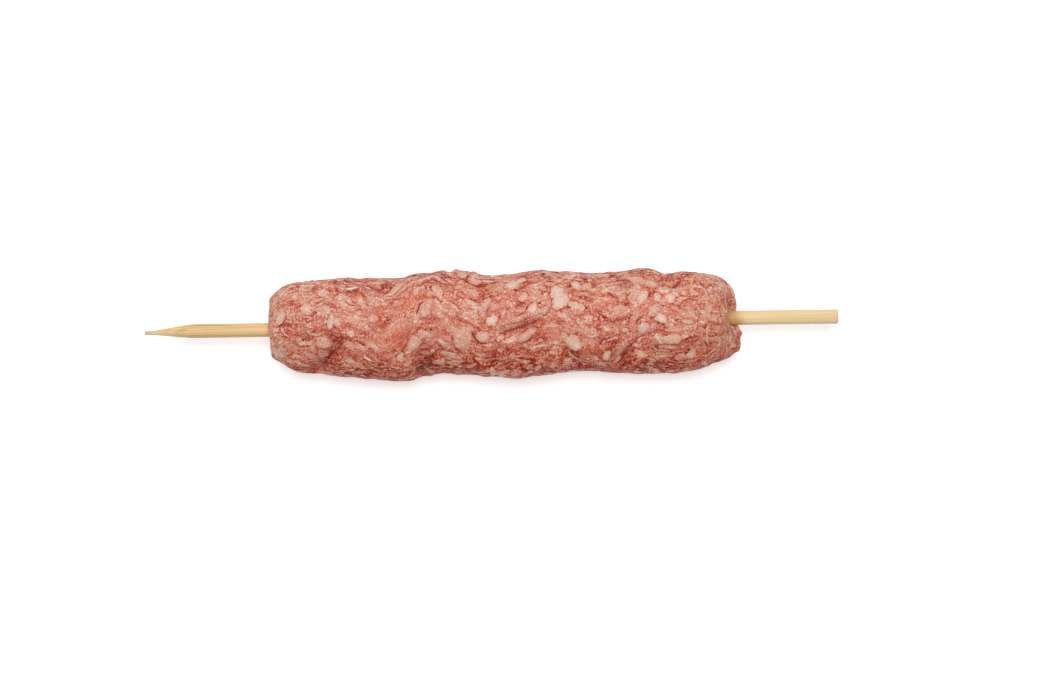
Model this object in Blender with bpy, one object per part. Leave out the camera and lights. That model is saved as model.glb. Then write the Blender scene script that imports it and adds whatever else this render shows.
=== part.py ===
"""A raw kofta skewer lying on its side: minced meat pressed by hand round a pointed bamboo stick.

Blender units are metres, with +Z up. The stick runs along X, with its point at -X and its cut end
at +X. The origin lies half way along the stick, on the surface that the meat rests on.

A place on the meat is given by two numbers. "Along" is the distance over its surface, measured
lengthwise from the middle of the stick: it equals X on the straight part and goes on down the end
faces to the stick. "Around" is the angle from the top, in degrees, positive towards +Y.
"""

import math
from typing import NamedTuple

import bpy
import numpy as np

MM = 0.001

# The bamboo stick
STICK_LENGTH = 200 * MM
STICK_DIAMETER = 4.1 * MM
STICK_GROWTH = 0.14 * MM  # the cut end is this much thicker than the pointed end
STICK_BOW = 0.3 * MM  # sideways, once towards -Y and once towards +Y
STICK_HEIGHT = 12.8 * MM  # from the resting surface to the stick's axis
STICK_SIDES = 24
STICK_RINGS = 14
POINT_LENGTH = 12.5 * MM
POINT_TIP_DIAMETER = 0.9 * MM
POINT_OFFSET = 0.35 * MM  # the tip is whittled off centre, towards -Y
POINT_FULLNESS = 1.25  # 1 would be a straight cone
POINT_RINGS = 7
CUT_CHAMFER = 0.15 * MM

# The meat
MEAT_LEFT = -64.4 * MM
MEAT_RIGHT = 71.0 * MM
HALF_WIDTH = 14.3 * MM
HEIGHT_OVER_AXIS = 13.3 * MM
DEPTH_UNDER_AXIS = 14.2 * MM  # more than the stick's height, so the loaf is flat where it rests
SHOULDER_LENGTH = 22 * MM  # the ends round off over this length
END_FLATNESS = 4.6
END_ROUNDNESS = 2.5
MEAT_SWAY = 0.4 * MM  # the meat winds this far to either side of the stick
SWAY_LENGTH = 240 * MM
LEFT_ASKEW = 1.0 * MM  # and its left end is pushed this much further, towards +Y
LEFT_ASKEW_START = -46 * MM
LEFT_ASKEW_END = -60 * MM
END_LEAN = 2.6 * MM  # the top of the right end lies this far behind its foot
LEAN_FOOT = -3 * MM  # heights from the axis between which the end leans
LEAN_HEAD = 5 * MM
MEAT_RINGS = 88
MEAT_SIDES = 46
BORE_GAP = 0.3 * MM

VALLEY_RUN_OUT = 0.2  # the share of a fold over which each of its ends fades
CHUNK_HEIGHT = 0.3 * MM

# Small knobs that the hand leaves everywhere, in mm and degrees
KNOB_COUNT = 90
KNOB_SEED = 11
KNOB_HEIGHT = 0.38
KNOB_SIZES = (2.6, 5.5)
KNOB_TURN = 60

# Steps along the profile that the rings are spaced by
PROFILE_STEPS = 4000


class Swell(NamedTuple):
    """A soft bulge, or a dent where the height is negative. Sizes in mm, angles in degrees."""

    along: float
    around: float
    length: float
    girth: float
    height: float
    turn: float = 0.0


class Valley(NamedTuple):
    """A fold between two lumps, along a line of (along, around) places. Sizes in mm."""

    places: tuple
    width: float
    depth: float


class Chunk(NamedTuple):
    """A piece of fat pressed into the surface. Sizes in mm, angles in degrees."""

    along: float
    around: float
    length: float
    width: float
    turn: float


# Where fingers squeezed the meat out on the far side (+Y), the near side (-Y) and the top
SWELLS = (
    Swell(-14.5, 78, 8.0, 9, 1.55),
    Swell(13.5, 80, 7.0, 9, 1.15),
    Swell(43.5, 84, 4.5, 8, 1.25),
    Swell(56.5, 80, 3.4, 7, 0.6),
    Swell(51.0, 84, 2.6, 6, -0.9),
    Swell(-57.0, 92, 6.0, 9, -0.5),
    Swell(-27.0, -84, 8.0, 10, 1.6),
    Swell(-18.0, -86, 3.6, 8, -1.2),
    Swell(6.5, -84, 9.0, 9, 1.35),
    Swell(27.0, -88, 4.0, 8, -0.6),
    Swell(49.0, -84, 9.0, 9, 1.1),
    Swell(-50.0, -84, 5.0, 8, -0.7),
    Swell(-54.0, 10, 8.0, 9, 0.7),
    Swell(-34.0, 62, 5.0, 6, -1.0, 35),
    Swell(-31.0, -32, 7.0, 7, 0.7),
    Swell(-12.0, 28, 8.0, 8, 0.8, 20),
    Swell(10.0, -34, 8.0, 7, 0.5),
    Swell(12.0, 34, 7.0, 7, 0.5),
    Swell(30.0, -12, 8.0, 9, 0.55),
    Swell(52.0, -22, 7.0, 8, 0.6),
    Swell(45.0, 32, 6.0, 7, 0.5),
    Swell(-40.0, 150, 9.0, 9, 0.8),
    Swell(-8.0, 128, 9.0, 8, -0.7),
    Swell(24.0, 140, 8.0, 8, 0.9),
    Swell(38.0, -140, 9.0, 8, -0.6),
    Swell(-20.0, -135, 8.0, 8, 0.8),
)

# Where the meat puckers on the end faces, close to the stick
LEFT_COLLAR = Swell(-74.0, 0, 5.0, 8, 0.6)
RIGHT_DIMPLE = Swell(80.4, 0, 4.5, 7, -1.3)
RIGHT_FOOT = Swell(74.5, -96, 4.0, 6, 1.2)

VALLEYS = (
    Valley(((-41.5, -8), (-45, -32), (-49.5, -56), (-52, -84)), 2.4, 1.5),
    Valley(((-40, 80), (-33, 58), (-27, 34), (-24, 14)), 2.6, 0.8),
    Valley(((-18.5, -10), (-19.5, -32), (-20.2, -60), (-21, -92)), 2.2, 1.7),
    Valley(((-0.5, -16), (6, -8), (12.5, 2), (17, 4)), 1.5, 1.2),
    Valley(((45, -12), (41.5, -27), (38.6, -40), (36.5, -70)), 2.2, 1.4),
    Valley(((46.5, 62), (49.5, 52), (52.7, 46), (55, 60), (59, 60)), 1.4, 1.1),
    Valley(((20.5, -26), (23, -42), (27.6, -70)), 1.5, 0.9),
    Valley(((-6, -42), (4, -52), (12, -50)), 1.6, 0.6),
    Valley(((57, -30), (62, -42), (68, -40)), 1.6, 0.7),
    Valley(((-52, 40), (-56, 20), (-58, -6)), 1.8, 0.5),
    Valley(((-10, 150), (-14, 120), (-22, 98)), 2.4, 1.2),
    Valley(((30, 150), (33, 122), (31, 96)), 2.4, 1.1),
    Valley(((8, -150), (15, -122), (17, -98)), 2.4, 1.1),
    Valley(((-46, 150), (-49, 124), (-46, 100)), 2.2, 1.0),
)

# The pieces of fat that are wide enough to stand out as relief
CHUNKS = (
    Chunk(-28.2, 41, 7.6, 2.8, 28),
    Chunk(-21.0, -23, 8.0, 3.4, 38),
    Chunk(-8.4, -16, 6.6, 5.8, 60),
    Chunk(-18.9, 18, 5.6, 3.6, 55),
    Chunk(-2.6, -17, 4.0, 3.4, 20),
    Chunk(7.2, 48, 6.6, 2.8, 22),
    Chunk(20.0, 28, 5.8, 5.0, -40),
    Chunk(25.5, 20, 5.4, 2.4, -12),
    Chunk(23.8, -26, 5.6, 4.6, -55),
    Chunk(10.0, -16, 7.8, 2.8, 24),
    Chunk(43.5, -8, 4.0, 4.2, 70),
    Chunk(48.6, 2, 4.4, 3.0, -15),
    Chunk(52.8, -22, 8.6, 3.4, 4),
    Chunk(41.5, 29, 4.0, 3.6, 40),
)


def clear_scene():
    """Removes whatever the file was opened with."""
    for thing in list(bpy.data.objects):
        bpy.data.objects.remove(thing, do_unlink=True)


def material(name, colour, roughness):
    """A plain Principled material of one colour."""
    made = bpy.data.materials.new(name)
    made.use_nodes = True
    shader = made.node_tree.nodes["Principled BSDF"]
    shader.inputs["Base Color"].default_value = (*colour, 1.0)
    shader.inputs["Roughness"].default_value = roughness
    shader.inputs["Metallic"].default_value = 0.0
    return made


def smooth_step(value, low, high):
    """0 below low, 1 above high, and an even S-curve between them."""
    t = np.clip((value - low) / (high - low), 0, 1)
    return t * t * (3 - 2 * t)


def bow(x):
    """How far the stick's axis lies from the straight line between its ends, towards +Y."""
    return STICK_BOW * np.sin(2 * math.pi * x / STICK_LENGTH)


def ring_object(name, rings):
    """A closed solid whose skin runs over rings of points, with both end rings filled."""
    count, sides = rings.shape[:2]
    corner = np.arange((count - 1) * sides).reshape(count - 1, sides)
    beside = np.roll(corner, -1, axis=1)
    faces = np.stack([corner, beside, beside + sides, corner + sides], axis=-1).reshape(-1, 4)
    first = list(range(sides - 1, -1, -1))
    last = list(range((count - 1) * sides, count * sides))
    mesh = bpy.data.meshes.new(name)
    mesh.from_pydata(rings.reshape(-1, 3).tolist(), [], [first, *faces.tolist(), last])
    mesh.validate()
    mesh.shade_smooth()
    mesh.set_sharp_from_angle(angle=math.radians(40))
    made = bpy.data.objects.new(name, mesh)
    bpy.context.scene.collection.objects.link(made)
    return made


def rod_rings(stations, radii, offsets=0.0):
    """Rings round the stick's bowed axis, one at each station along X."""
    turn = -2 * math.pi * np.arange(STICK_SIDES) / STICK_SIDES
    x = np.asarray(stations)[:, None] + 0 * turn
    radius = np.asarray(radii)[:, None]
    y = radius * np.sin(turn) + bow(x) + np.reshape(offsets, (-1, 1))
    z = radius * np.cos(turn) + STICK_HEIGHT
    return np.stack([x, y, z], axis=-1)


def stick_radius(x):
    """The stick's radius away from its point, growing slightly towards the cut end."""
    return STICK_DIAMETER / 2 + STICK_GROWTH / 2 * x / STICK_LENGTH


def make_stick():
    """The bamboo stick: a whittled point that swells to the full round, and a square cut end."""
    left, right = -STICK_LENGTH / 2, STICK_LENGTH / 2
    share = np.linspace(0, 1, POINT_RINGS)
    point_x = left + POINT_LENGTH * share
    full = stick_radius(point_x)
    tip = POINT_TIP_DIAMETER / 2
    fullness = POINT_FULLNESS * share - (POINT_FULLNESS - 1) * share**5
    point_radius = tip + (full - tip) * fullness
    body_x = np.linspace(left + POINT_LENGTH, right - CUT_CHAMFER, STICK_RINGS)[1:]
    stations = np.concatenate([point_x, body_x, [right]])
    radii = np.concatenate([point_radius, stick_radius(body_x), [stick_radius(right) - CUT_CHAMFER]])
    offsets = np.zeros(len(stations))
    offsets[:POINT_RINGS] = -POINT_OFFSET * (1 - share) ** 2
    return ring_object("bamboo_stick", rod_rings(stations, radii, offsets))


def make_bore_cutter():
    """A rod a little thicker than the stick, which clears the way for it through the meat."""
    reach = 10 * MM
    stations = np.linspace(MEAT_LEFT - reach, MEAT_RIGHT + reach, STICK_RINGS)
    cutter = ring_object("bore_cutter", rod_rings(stations, stick_radius(stations) + BORE_GAP))
    cutter.hide_render = True
    cutter.display_type = "WIRE"
    return cutter


def meat_profile():
    """Evenly spaced rings from pole to pole: X, share of the full girth, and distance along.

    Each end follows (1 - depth / shoulder) ** roundness + share ** flatness = 1, a flat face with
    a round shoulder, and the straight part joins them.
    """
    share = np.sin(np.linspace(0, math.pi / 2, PROFILE_STEPS))
    depth = SHOULDER_LENGTH * (1 - (1 - share**END_FLATNESS) ** (1 / END_ROUNDNESS))
    x = np.concatenate([MEAT_LEFT + depth, (MEAT_RIGHT - depth)[::-1]])
    share = np.concatenate([share, share[::-1]])
    step = np.hypot(np.diff(x), HALF_WIDTH * np.diff(share))
    along = np.concatenate([[0], np.cumsum(step)])
    along += np.interp(0, x, x - along)
    even = np.linspace(along[0], along[-1], MEAT_RINGS)
    return np.interp(even, along, x), np.interp(even, along, share), even


def sway(x):
    """How far the middle of the meat lies from the stick's axis, towards +Y."""
    askew = LEFT_ASKEW * smooth_step(-x, -LEFT_ASKEW_START, -LEFT_ASKEW_END)
    return askew - MEAT_SWAY * np.sin(2 * math.pi * x / SWAY_LENGTH)


def plain_loaf(x, share, around):
    """The meat before any lump: a slumped oval section, swept along the bowed stick."""
    upper = np.cos(around) > 0
    height = np.where(upper, HEIGHT_OVER_AXIS, DEPTH_UNDER_AXIS) * np.cos(around)
    z = share[:, None] * height
    y = share[:, None] * HALF_WIDTH * np.sin(around) + (bow(x) + sway(x))[:, None]
    near_end = smooth_step(x, MEAT_RIGHT - SHOULDER_LENGTH, MEAT_RIGHT)[:, None]
    lean = END_LEAN * near_end * smooth_step(z, LEAN_FOOT, LEAN_HEAD)
    return np.stack([x[:, None] - lean, y, z + STICK_HEIGHT], axis=-1)


def outward(points):
    """Unit normals of a grid of rings, from the cross product of its two directions."""
    lengthwise = np.gradient(points, axis=0)
    girthwise = np.roll(points, -1, axis=1) - np.roll(points, 1, axis=1)
    normal = np.cross(lengthwise, girthwise)
    return normal / np.maximum(np.linalg.norm(normal, axis=-1, keepdims=True), 1e-12)


def girth_away(around, place, share):
    """Distance round the section from a place, shrinking with the section towards the poles."""
    turn = (around - math.radians(place) + math.pi) % (2 * math.pi) - math.pi
    return turn[None, :] * share[:, None] * HALF_WIDTH


def swell_height(swell, along, around, share):
    """A bell-shaped bulge with two half lengths, turned on the surface."""
    lengthwise = along[:, None] - swell.along * MM
    girthwise = girth_away(around, swell.around, share)
    c, s = math.cos(math.radians(swell.turn)), math.sin(math.radians(swell.turn))
    u = (lengthwise * c + girthwise * s) / (swell.length * MM)
    v = (girthwise * c - lengthwise * s) / (swell.girth * MM)
    return swell.height * MM * np.exp(-(u * u + v * v))


def valley_depth(valley, along, around, share):
    """A groove with a bell-shaped section along a bent line, running out at both ends."""
    nearest = np.full((len(along), len(around)), np.inf)
    fade = np.zeros_like(nearest)
    legs = len(valley.places) - 1
    for leg in range(legs):
        (a0, r0), (a1, r1) = valley.places[leg : leg + 2]
        run = (a1 - a0) * MM
        rise = math.radians(r1 - r0) * HALF_WIDTH
        u = along[:, None] - a0 * MM
        v = girth_away(around, r0, share)
        t = np.clip((u * run + v * rise) / (run * run + rise * rise), 0, 1)
        away = np.hypot(u - t * run, v - t * rise)
        whole = (leg + t) / legs
        closer = away < nearest
        nearest = np.where(closer, away, nearest)
        fade = np.where(closer, np.clip(np.minimum(whole, 1 - whole) / VALLEY_RUN_OUT, 0, 1), fade)
    return -valley.depth * MM * fade * np.exp(-((nearest / (valley.width * MM)) ** 2))


def chunk_height(chunk, along, around, share):
    """A low dome with an oval outline."""
    lengthwise = along[:, None] - chunk.along * MM
    girthwise = girth_away(around, chunk.around, share)
    c, s = math.cos(math.radians(chunk.turn)), math.sin(math.radians(chunk.turn))
    u = (lengthwise * c + girthwise * s) / (chunk.length / 2 * MM)
    v = (girthwise * c - lengthwise * s) / (chunk.width / 2 * MM)
    return CHUNK_HEIGHT * np.clip(1 - (u * u + v * v) ** 2, 0, 1)


def knobs(along):
    """Small bulges and dents spread evenly over the skin, with seeded sizes."""
    draw = np.random.default_rng(KNOB_SEED)
    golden = 180 * (3 - math.sqrt(5))
    places = np.linspace(along[0], along[-1], KNOB_COUNT) / MM
    for number, place in enumerate(places):
        length, girth = draw.uniform(*KNOB_SIZES, 2)
        height = draw.uniform(-KNOB_HEIGHT, KNOB_HEIGHT)
        turn = draw.uniform(-KNOB_TURN, KNOB_TURN)
        yield Swell(place, number * golden % 360 - 180, length, girth, height, turn)


def relief(along, around, share):
    """All the lumps, folds and pieces of fat together, as one height over the plain loaf."""
    height = np.zeros((len(along), len(around)))
    for swell in (*SWELLS, LEFT_COLLAR, RIGHT_DIMPLE, RIGHT_FOOT, *knobs(along)):
        height += swell_height(swell, along, around, share)
    for valley in VALLEYS:
        height += valley_depth(valley, along, around, share)
    for chunk in CHUNKS:
        height += chunk_height(chunk, along, around, share)
    return height


def make_meat():
    """The meat: the plain loaf pushed out by its relief, set flat on its foot, with the bore cut."""
    x, share, along = meat_profile()
    around = 2 * math.pi * np.arange(MEAT_SIDES) / MEAT_SIDES
    loaf = plain_loaf(x, share, around)
    points = loaf + outward(loaf) * relief(along, around, share)[..., None]
    points[..., 2] = np.maximum(points[..., 2], 0)
    meat = ring_object("minced_meat", points[1:-1, ::-1])
    bore = meat.modifiers.new("Bore", "BOOLEAN")
    bore.operation = "DIFFERENCE"
    bore.solver = "EXACT"
    bore.object = make_bore_cutter()
    return meat


def main():
    clear_scene()
    stick = make_stick()
    stick.data.materials.append(material("bamboo", (0.80, 0.58, 0.31), 0.55))
    meat = make_meat()
    meat.data.materials.append(material("raw_mince", (0.58, 0.22, 0.16), 0.45))


main()
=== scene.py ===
"""Looks for the raw kofta skewer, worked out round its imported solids.

Sizes are in millimetres, in the solids' own frame, and each mesh is scaled to metres as it is made.
The stick runs along X, with its point at -X, and the meat rests on z = 0.

A place on the meat is given by two numbers. "Along" is the distance over its surface, measured
lengthwise from the middle of the stick: it equals X on the straight part and goes on down the end
faces to the stick. "Around" is the angle from the top, in degrees, positive towards +Y. What shows on
the top is given by x and y as seen from above instead, and from_above() finds its place.
"""
import math
from typing import NamedTuple

import bpy
import numpy as np
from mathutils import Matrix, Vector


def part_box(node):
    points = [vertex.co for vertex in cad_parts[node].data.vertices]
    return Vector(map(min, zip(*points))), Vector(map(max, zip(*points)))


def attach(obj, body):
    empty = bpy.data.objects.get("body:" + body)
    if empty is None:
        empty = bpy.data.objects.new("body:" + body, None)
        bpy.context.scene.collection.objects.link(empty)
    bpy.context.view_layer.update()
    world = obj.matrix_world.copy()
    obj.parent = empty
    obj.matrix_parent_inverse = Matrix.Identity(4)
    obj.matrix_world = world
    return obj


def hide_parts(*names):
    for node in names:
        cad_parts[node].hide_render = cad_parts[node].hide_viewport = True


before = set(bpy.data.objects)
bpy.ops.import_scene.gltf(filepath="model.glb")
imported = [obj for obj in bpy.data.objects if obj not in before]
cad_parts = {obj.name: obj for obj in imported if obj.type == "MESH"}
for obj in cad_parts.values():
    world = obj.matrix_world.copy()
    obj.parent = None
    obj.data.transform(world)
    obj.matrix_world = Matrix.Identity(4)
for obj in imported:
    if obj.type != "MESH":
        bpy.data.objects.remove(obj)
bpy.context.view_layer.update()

MM = 0.001

# The bamboo stick
STICK_BOX = [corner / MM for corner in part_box("bamboo_stick")]
STICK_LEFT, STICK_RIGHT = STICK_BOX[0].x, STICK_BOX[1].x
STICK_LENGTH = STICK_RIGHT - STICK_LEFT
STICK_HEIGHT = (STICK_BOX[0].z + STICK_BOX[1].z) / 2  # of the stick's axis
STICK_DIAMETER = 4.1
STICK_GROWTH = 0.14  # the cut end is this much thicker than the pointed end
STICK_BOW = 0.3  # sideways, once towards -Y and once towards +Y
STICK_RINGS = 260
POINT_RINGS = 65
TIP_RINGS = 6
CUT_RINGS = 14
STICK_SIDES = 72
POINT_LENGTH = 15.0
POINT_TIP_DIAMETER = 1.1
POINT_OFFSET = 0.42  # the tip is whittled off centre, towards -Y
CUT_CHAMFER = 0.15
CUT_ROUGHNESS = 0.04
CUT_GRAIN = 0.35
CENTRE_SHARE = 0.04  # of the cut end's radius, inside which one flat face closes it
TIP_SHARES = (0.1, 0.92)  # the smallest and the largest ring on the blunt tip
FIBRE_HEIGHT = 0.025
FIBRE_SINK = 0.6  # the fibres are lowered by this share of their height, to stay near the round
FIBRE_STRETCH = 250  # how many times they are drawn out lengthwise
FIBRES = ((0.28, 1.0, 1), (0.7, 0.7, 8))  # size, share of the height, how often they are cut shorter
SHARP_ANGLE = 50

# The meat before any lump
MEAT_LEFT = -64.4
MEAT_RIGHT = 71.0
HALF_WIDTH = 14.3
HEIGHT_OVER_AXIS = 13.3
DEPTH_UNDER_AXIS = 14.2  # more than the stick's height, so the loaf is flat where it rests
SHOULDER_LENGTH = 22
END_FLATNESS = 4.6
END_ROUNDNESS = 2.5
MEAT_SWAY = 0.4
SWAY_LENGTH = 240
LEFT_ASKEW = 1.0
LEFT_ASKEW_START = -46
LEFT_ASKEW_END = -60
END_LEAN = 2.6  # the top of the right end lies this far behind its foot
LEAN_FOOT = -3
LEAN_HEAD = 5
PROFILE_STEPS = 4000

# The meat's grid
MEAT_RINGS = 456
MEAT_SIDES = 212
TOP_CROWDING = 0.25  # columns stand this much closer on the top than on average, and wider below
BORE_RINGS = 12
MOUTH_SHARE = STICK_DIAMETER / 2 / HALF_WIDTH  # the share of the full girth at the bore's mouths
MOUTH_BLEND = 0.3  # the share up to which the end faces close onto the stick
FOOT_ROUNDING = 0.3  # how softly the meat goes over into the flat that it rests on

# Small knobs that the hand leaves everywhere
KNOB_COUNT = 90
KNOB_SEED = 11
KNOB_HEIGHT = 0.38
KNOB_SIZES = (2.6, 5.5)
KNOB_TURN = 60
VALLEY_RUN_OUT = 0.2  # the share of a fold over which each of its ends fades
CHUNK_HEIGHT = 0.3

# What the mincer leaves: grain sizes with their heights, then strands and the drift that bends them
LATTICE_SIDE = 64  # the noise repeats after this many of its cubes
GRAINS = ((3.6, 0.16), (1.9, 0.11), (1.05, 0.05), (0.65, 0.03))
GRAIN_SEED = 40
DRIFT_SEED = 50
STRAND_SEED = 51
WOBBLE_SEED = 60
FIBRE_SEED = 70
CUT_SEED = 72
STRAND_SHAPE = (3.2, 1.0, 1.0)  # strands are drawn out along the stick
STRAND_SIZE = 1.0
STRAND_HEIGHT = 0.10
TOP_STRANDS = 0.3  # the share of their height that strands have on the top
FLANKS = (4, 12)  # the distances from the middle between which they grow to the whole of it
DRIFT_SIZE = 6.0
DRIFT_AMOUNT = 1.5
WOBBLES = ((1.3, 1.0), (0.6, 0.5))  # sizes and shares of the noise that makes the fat's edges uneven
WIDE_SPREAD, NARROW_SPREAD = 16, 5  # how often the relief is averaged to find its hollows
HOLLOW_SCALE = 2

# Bits of fat: seeded large ones where none is listed, and seeded small ones everywhere
LARGE_FAT = 210
SMALL_FAT = 620
LARGE_FAT_SPREAD = 4.6  # the longest is this much longer than the longest small one
LARGE_FAT_POWER = 2.2  # makes the shorter ones among them the commoner
SMALL_FAT_LENGTH = 1.7
LEAST_FAT_LENGTH = 0.6
LEAST_FAT_WIDTH = 0.5
FAT_WIDTHS = (0.35, 0.85)  # shares of the length
FAT_TURN = 28
FAT_TONES = (0.20, 0.85)
FAT_GAP = 1.0
FAT_MARGIN = 2  # from the poles
SHOWN_ANGLE = 76  # from the top: the larger bits of fat up to there are listed
SHOWN_MIDDLE = 3
SHOWN_REACH = 62
FAT_SEED = 5
FAT_RISE = 0.12
FAT_RISES = (-0.6, 1.0)  # shares of that height
FAT_SHOULDER = (-0.1, 0.4)  # the distances inside the edge over which a bit rises
FAT_SHAPE = 2.4  # the power of the ovals, a little squarer than an ellipse
FAT_EGG = 0.3
EDGE_WOBBLE = 0.16  # as a share of a bit's half width
MOST_WOBBLE = 0.13

# Cracks and films: the seeded ones on the sides and below, and the section of each line
LOOSE_CREASES = 34
LONGEST_CREASE = 9
LOOSE_DEPTHS = (0.2, 0.5)
LOOSE_LIPS = (0.05, 0.2)
LOOSE_STRENGTHS = (0.3, 0.9)
LOOSE_FILMS = 46
LONGEST_FILM = 6
SHORTEST_LINE = 2.5
HIDDEN_ANGLES = (70, 290)
POLE_MARGIN = 6
LINE_TURN = 35
LOOSE_FILM_STRENGTH = 0.5
CREASE_SEED = 23
CRACK_WIDTH = 0.42
LIP_EDGE = (-0.05, 0.3)
LIP_FALL = 1.3
CREASE_RUN_OUT = 0.25  # the share of the line over which each end fades
FILM_RUN_OUT = 0.3
FILM_WIDTH = 0.3
FILM_HEIGHT = 0.14
LINE_MARGIN = 4  # how far past its ends a line's relief is worked out
LINE_FADE = 0.7  # the distance from which a line's strength falls
FIELD_REACH = 1.2  # how far from a line or an edge its distance is kept

# Crushed pepper
PEPPER_COUNT = 34
PEPPER_SEED = 8
PEPPER_SIZES = (0.25, 0.6)
PEPPER_SPAN = (-60, 66)
PEPPER_SIDES = ((100, 140), (220, 260))  # the angles between which the seeded grains lie
PEPPER_ROWS = 5
PEPPER_COLUMNS = 8
PEPPER_FLATNESS = 0.6
PEPPER_LUMPS = 0.28
PEPPER_STRETCHES = ((0.7, 1.3), (0.6, 1.0))  # of a grain's two sides

# What is seen from above, kept within bounds where the surface turns away
LEAST_SHARE = 0.3
MOST_ACROSS = 0.97
LEAST_SEEN = 0.4

# Colours, linear. The meat's run from deep red lean, at 0, to cream fat, at 1
MEAT_COLOURS = (
    (0.00, (0.215, 0.026, 0.016)),
    (0.12, (0.335, 0.053, 0.033)),
    (0.25, (0.450, 0.094, 0.060)),
    (0.40, (0.555, 0.156, 0.102)),
    (0.55, (0.612, 0.230, 0.150)),
    (0.70, (0.655, 0.312, 0.218)),
    (0.85, (0.692, 0.410, 0.305)),
    (1.00, (0.755, 0.575, 0.470)),
)
SMEARED_RED = (0.680, 0.185, 0.120)
# Pale sinew, and painted glints on wet edges
SINEW_AND_GLINT_WHITE = (0.780, 0.700, 0.640)
FAT_YELLOW = (0.600, 0.350, 0.150)
BAMBOO_PALE = (0.835, 0.640, 0.365)
BAMBOO_GOLD = (0.720, 0.460, 0.180)
BAMBOO_BROWN = (0.480, 0.250, 0.085)
PEPPER_BLACK = (0.065, 0.022, 0.012)
PEPPER_BROWN = (0.20, 0.09, 0.05)
FLOOR_WHITE = (0.75, 0.75, 0.75)
WHITE = (1.0, 1.0, 1.0, 1.0)
BASE_PALENESS = 0.565

# Rounded pale bits in the meat: size, stretch along the stick, share of places filled, edge, strength
FLECKS = (
    (3.6, 0.60, 0.60, 0.060, 0.16),
    (2.0, 0.60, 0.75, 0.075, 0.26),
    (1.1, 0.70, 0.80, 0.110, 0.22),
)

# The stage: the photograph looks straight down, with the stick turned a little in the picture
CAMERA_TURN = 1.26
CAMERA_PLACE = (9.85, -7.70, 856.0)
CAMERA_LENS = 100
KEY_PLACE = (0.0, 200.0, 1000.0)
KEY_SIZE = 550
KEY_POWER = 10.0
ROOM_LIGHT = 0.12
FLOOR_SIZE = 12000
FLOOR_GLOW = 0.55


class Swell(NamedTuple):
    """A soft bulge, or a dent where the height is negative. Sizes in mm, angles in degrees."""

    along: float
    around: float
    length: float
    girth: float
    height: float
    turn: float = 0.0


class Valley(NamedTuple):
    """A fold between two lumps, along a line of (along, around) places."""

    places: tuple
    width: float
    depth: float


class Chunk(NamedTuple):
    """A piece of fat thick enough to stand out of the surface."""

    along: float
    around: float
    length: float
    width: float
    turn: float


class Fat(NamedTuple):
    """A piece of fat as seen from above: middle, size and turn, and its tone, 0 pink to 1 cream."""

    x: float
    y: float
    length: float
    width: float
    turn: float
    tone: float


class Crease(NamedTuple):
    """A crack or the rim of a flap, as seen from above. The lip stands up on its left-hand side."""

    places: tuple
    depth: float
    lip: float
    strength: float


class Film(NamedTuple):
    """A thin pale raised edge of sinew or fat, as seen from above, whitened partly as a painted glint."""

    places: tuple
    strength: float


class Patch(NamedTuple):
    """A soft oval as seen from above, and how much it adds of what its table is about."""

    x: float
    y: float
    length: float
    width: float
    turn: float
    amount: float


def rows(kind, table):
    """The rows of a table, each made a thing of one kind."""
    return tuple(kind(*row) for row in table)


# Where fingers squeezed the meat out on the far side (+Y), the near side (-Y) and the top
SWELLS = rows(Swell, (
    (-14.5, 78, 8, 9, 1.55), (13.5, 80, 7, 9, 1.15), (43.5, 84, 4.5, 8, 1.25), (56.5, 80, 3.4, 7, 0.6),
    (51, 84, 2.6, 6, -0.9), (-57, 92, 6, 9, -0.5), (-27, -84, 8, 10, 1.6), (-18, -86, 3.6, 8, -1.2),
    (6.5, -84, 9, 9, 1.35), (27, -88, 4, 8, -0.6), (49, -84, 9, 9, 1.1), (-50, -84, 5, 8, -0.7),
    (-54, 10, 8, 9, 0.7), (-34, 62, 5, 6, -1, 35), (-31, -32, 7, 7, 0.7), (-12, 28, 8, 8, 0.8, 20),
    (10, -34, 8, 7, 0.5), (12, 34, 7, 7, 0.5), (30, -12, 8, 9, 0.55), (52, -22, 7, 8, 0.6),
    (45, 32, 6, 7, 0.5), (-40, 150, 9, 9, 0.8), (-8, 128, 9, 8, -0.7), (24, 140, 8, 8, 0.9),
    (38, -140, 9, 8, -0.6), (-20, -135, 8, 8, 0.8), (-74, 0, 5, 8, 0.25), (80.4, 0, 4.5, 7, -2),
    (74.5, -96, 4, 6, 1.2), (-73.8, 0, 9.5, 80, -1.1),
))

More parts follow.
